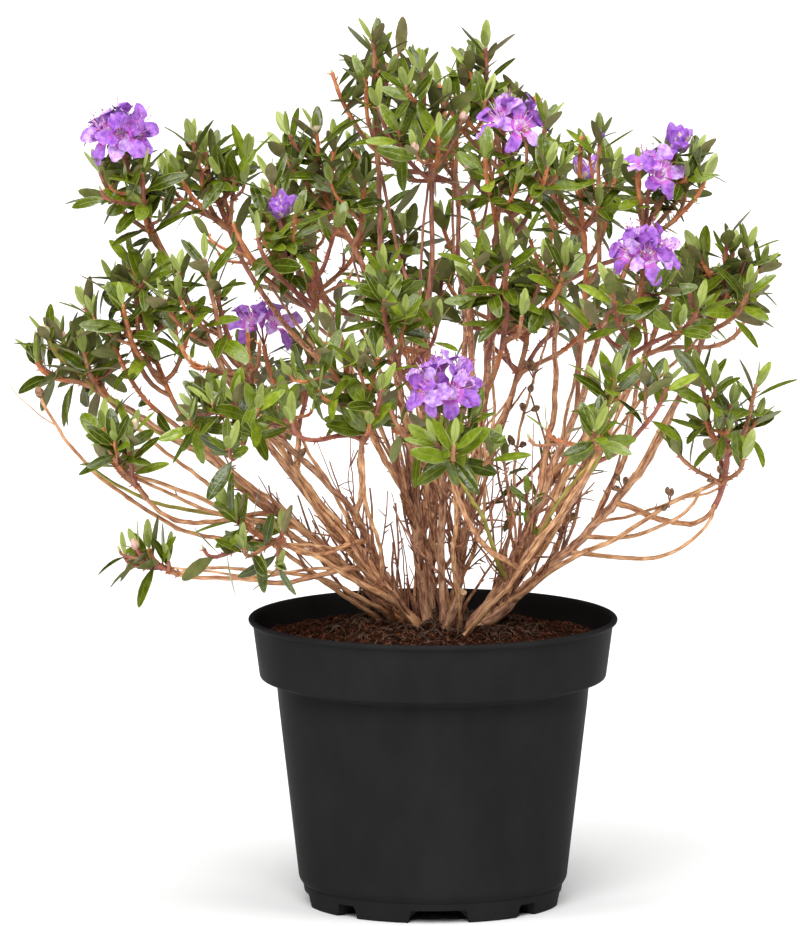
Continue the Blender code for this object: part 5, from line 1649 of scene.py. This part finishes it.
chance = np.random.default_rng(67)
ends = np.stack([run[-1] for run, _ in rows])
end_axes = unit(np.stack([run[-1] - run[-2] for run, _ in rows]))
blooming = np.concatenate([tips, np.stack([tip_of(*key)[0] for key in HALF_OPEN])])
free = np.linalg.norm(ends[:, None] - blooming[None], axis=-1).min(1) > BLOOM_CLEARANCE
ends, end_axes = ends[free], end_axes[free]
chosen = []
for across, down, _ in BUD_PLACES:
    gaps = picture_gaps(ends, across, down)
    gaps[chosen] = np.inf
    chosen.append(int(np.argmin(gaps)))
kinds = np.array([kind for _, _, kind in BUD_PLACES])
lengths = BUD_LENGTHS[kinds] * chance.uniform(0.9, 1.1, len(kinds))
points, faces = ribbed_husk(ends[chosen] - end_axes[chosen] * MM, end_axes[chosen], lengths,
                            BUD_WIDTH * lengths, 5, chance, open_top=0.05)
bud_cream = mottled_material("bud_cream", (0.58, 0.44, 0.28), (0.80, 0.70, 0.50), 240.0,
                             (0.6, 0.8), bump=0.0002)
bud_pink = mottled_material("bud_pink", (0.52, 0.25, 0.20), (0.76, 0.50, 0.42), 240.0,
                            (0.6, 0.8), bump=0.0002)
bud_green = mottled_material("bud_green", (0.40, 0.42, 0.15), (0.60, 0.56, 0.28), 240.0,
                             (0.5, 0.7))
add_piece("scaly_flower_buds", points, faces, [bud_cream, bud_pink, petal_violet],
          np.repeat(kinds, len(faces) // len(kinds)))
rest = np.setdiff1d(np.arange(len(ends)), chosen)
lengths = chance.uniform(*LEAF_BUD_LENGTHS, len(rest)) * MM
points, faces = ribbed_husk(ends[rest] - end_axes[rest] * MM, end_axes[rest], lengths,
                            LEAF_BUD_WIDTH * lengths, 3, chance, open_top=0.02, rows=4, columns=6)
add_piece("leaf_buds", points, faces, [bud_green])
wood = np.concatenate(side_paths)
feet, axes = [], []
for across, down in CAPSULE_PLACES:
    root = wood[int(np.argmin(picture_gaps(wood, across, down)))]
    for _ in range(chance.integers(2, 5)):
        way = unit(chance.normal(size=3) * 0.6 + UP * 0.7 + np.array((0.0, -0.4, 0.0)))
        feet.append(root + way * chance.uniform(*CAPSULE_RANGE) * MM)
        axes.append(way)
feet, axes = np.stack(feet), np.stack(axes)
lengths = chance.uniform(*CAPSULE_LENGTHS, len(feet)) * MM
points, faces = ribbed_husk(feet, axes, lengths, 0.5 * lengths, CAPSULE_RIBS, chance,
                            open_top=0.35)
add_piece("dry_capsules", points, faces, [dry_husk], slot="young_bark")
share = np.linspace(0.0, 1.0, 4)[None, :, None]
stalks = (feet - axes * CAPSULE_FOOT)[:, None] + axes[:, None] * CAPSULE_STALK * share
add_tubes("capsule_stalks", stalks, CAPSULE_STALK_RADIUS, 5, [dead_bark], slot="young_bark")

# Floor, light and camera
# A pale level floor, a bright even sky, four large soft lights, and a long lens that looks a
# little down on the plant from the front.
FLOOR_HALF = 40.0
FLOOR_GREY = (0.80, 0.80, 0.80, 1.0)
SKY_STRENGTH = 0.09
SUNS = {
    "front": ((-0.15, -1.0, 0.85), 34.0, 2.55),
    "left": ((-1.0, -0.55, 1.9), 32.0, 1.5),
    "right": ((1.0, -0.6, 1.9), 32.0, 1.5),
    "above": ((0.1, 0.25, 1.6), 45.0, 1.2),
}
DISTANCE = 9.0
IMAGE_SIZE = (800, 926)
SENSOR = 36.0
floor_mesh = bpy.data.meshes.new("floor")
corners = [(x * FLOOR_HALF, y * FLOOR_HALF, 0.0) for x, y in ((-1, -1), (1, -1), (1, 1), (-1, 1))]
floor_mesh.from_pydata(corners, [], [(0, 1, 2, 3)])
floor_paint, _ = new_material("floor_paint", 0.9, Base_Color=FLOOR_GREY, Specular_IOR_Level=0.0)
floor_mesh.materials.append(floor_paint)
floor = bpy.data.objects.new("floor", floor_mesh)
bpy.context.scene.collection.objects.link(floor)
floor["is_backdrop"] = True

world = bpy.data.worlds.new("studio")
world.use_nodes = True
set_inputs(world.node_tree.nodes["Background"],
           {"Color": (1.0, 1.0, 1.0, 1.0), "Strength": SKY_STRENGTH})
bpy.context.scene.world = world
bpy.context.scene.view_settings.view_transform = "Standard"
for name, (towards, width, strength) in SUNS.items():
    light = bpy.data.lights.new(name, "SUN")
    light.angle = math.radians(width)
    light.energy = strength
    lamp = bpy.data.objects.new(name, light)
    bpy.context.scene.collection.objects.link(lamp)
    lamp.location = towards
    lamp.rotation_euler = lamp.location.to_track_quat("Z", "Y").to_euler()
lens = bpy.data.cameras.new("camera")
camera = bpy.data.objects.new("camera", lens)
bpy.context.scene.collection.objects.link(camera)
bpy.context.scene.camera = camera
right = (0.5 * IMAGE_SIZE[0] - AXIS_PIXEL) * PIXEL
height = (GROUND_PIXEL - 0.5 * IMAGE_SIZE[1]) * PIXEL / math.cos(ELEVATION)
camera.location = (right, -DISTANCE * math.cos(ELEVATION), height + DISTANCE * math.sin(ELEVATION))
camera.rotation_euler = (math.pi / 2 - ELEVATION, 0.0, 0.0)
lens.sensor_width = SENSOR
lens.lens = SENSOR * DISTANCE / (IMAGE_SIZE[1] * PIXEL)
lens.clip_end = 100.0

sizes = {"cad": [list(corner) for corner in cad_box],
         "visual": [list(corner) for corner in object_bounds()]}
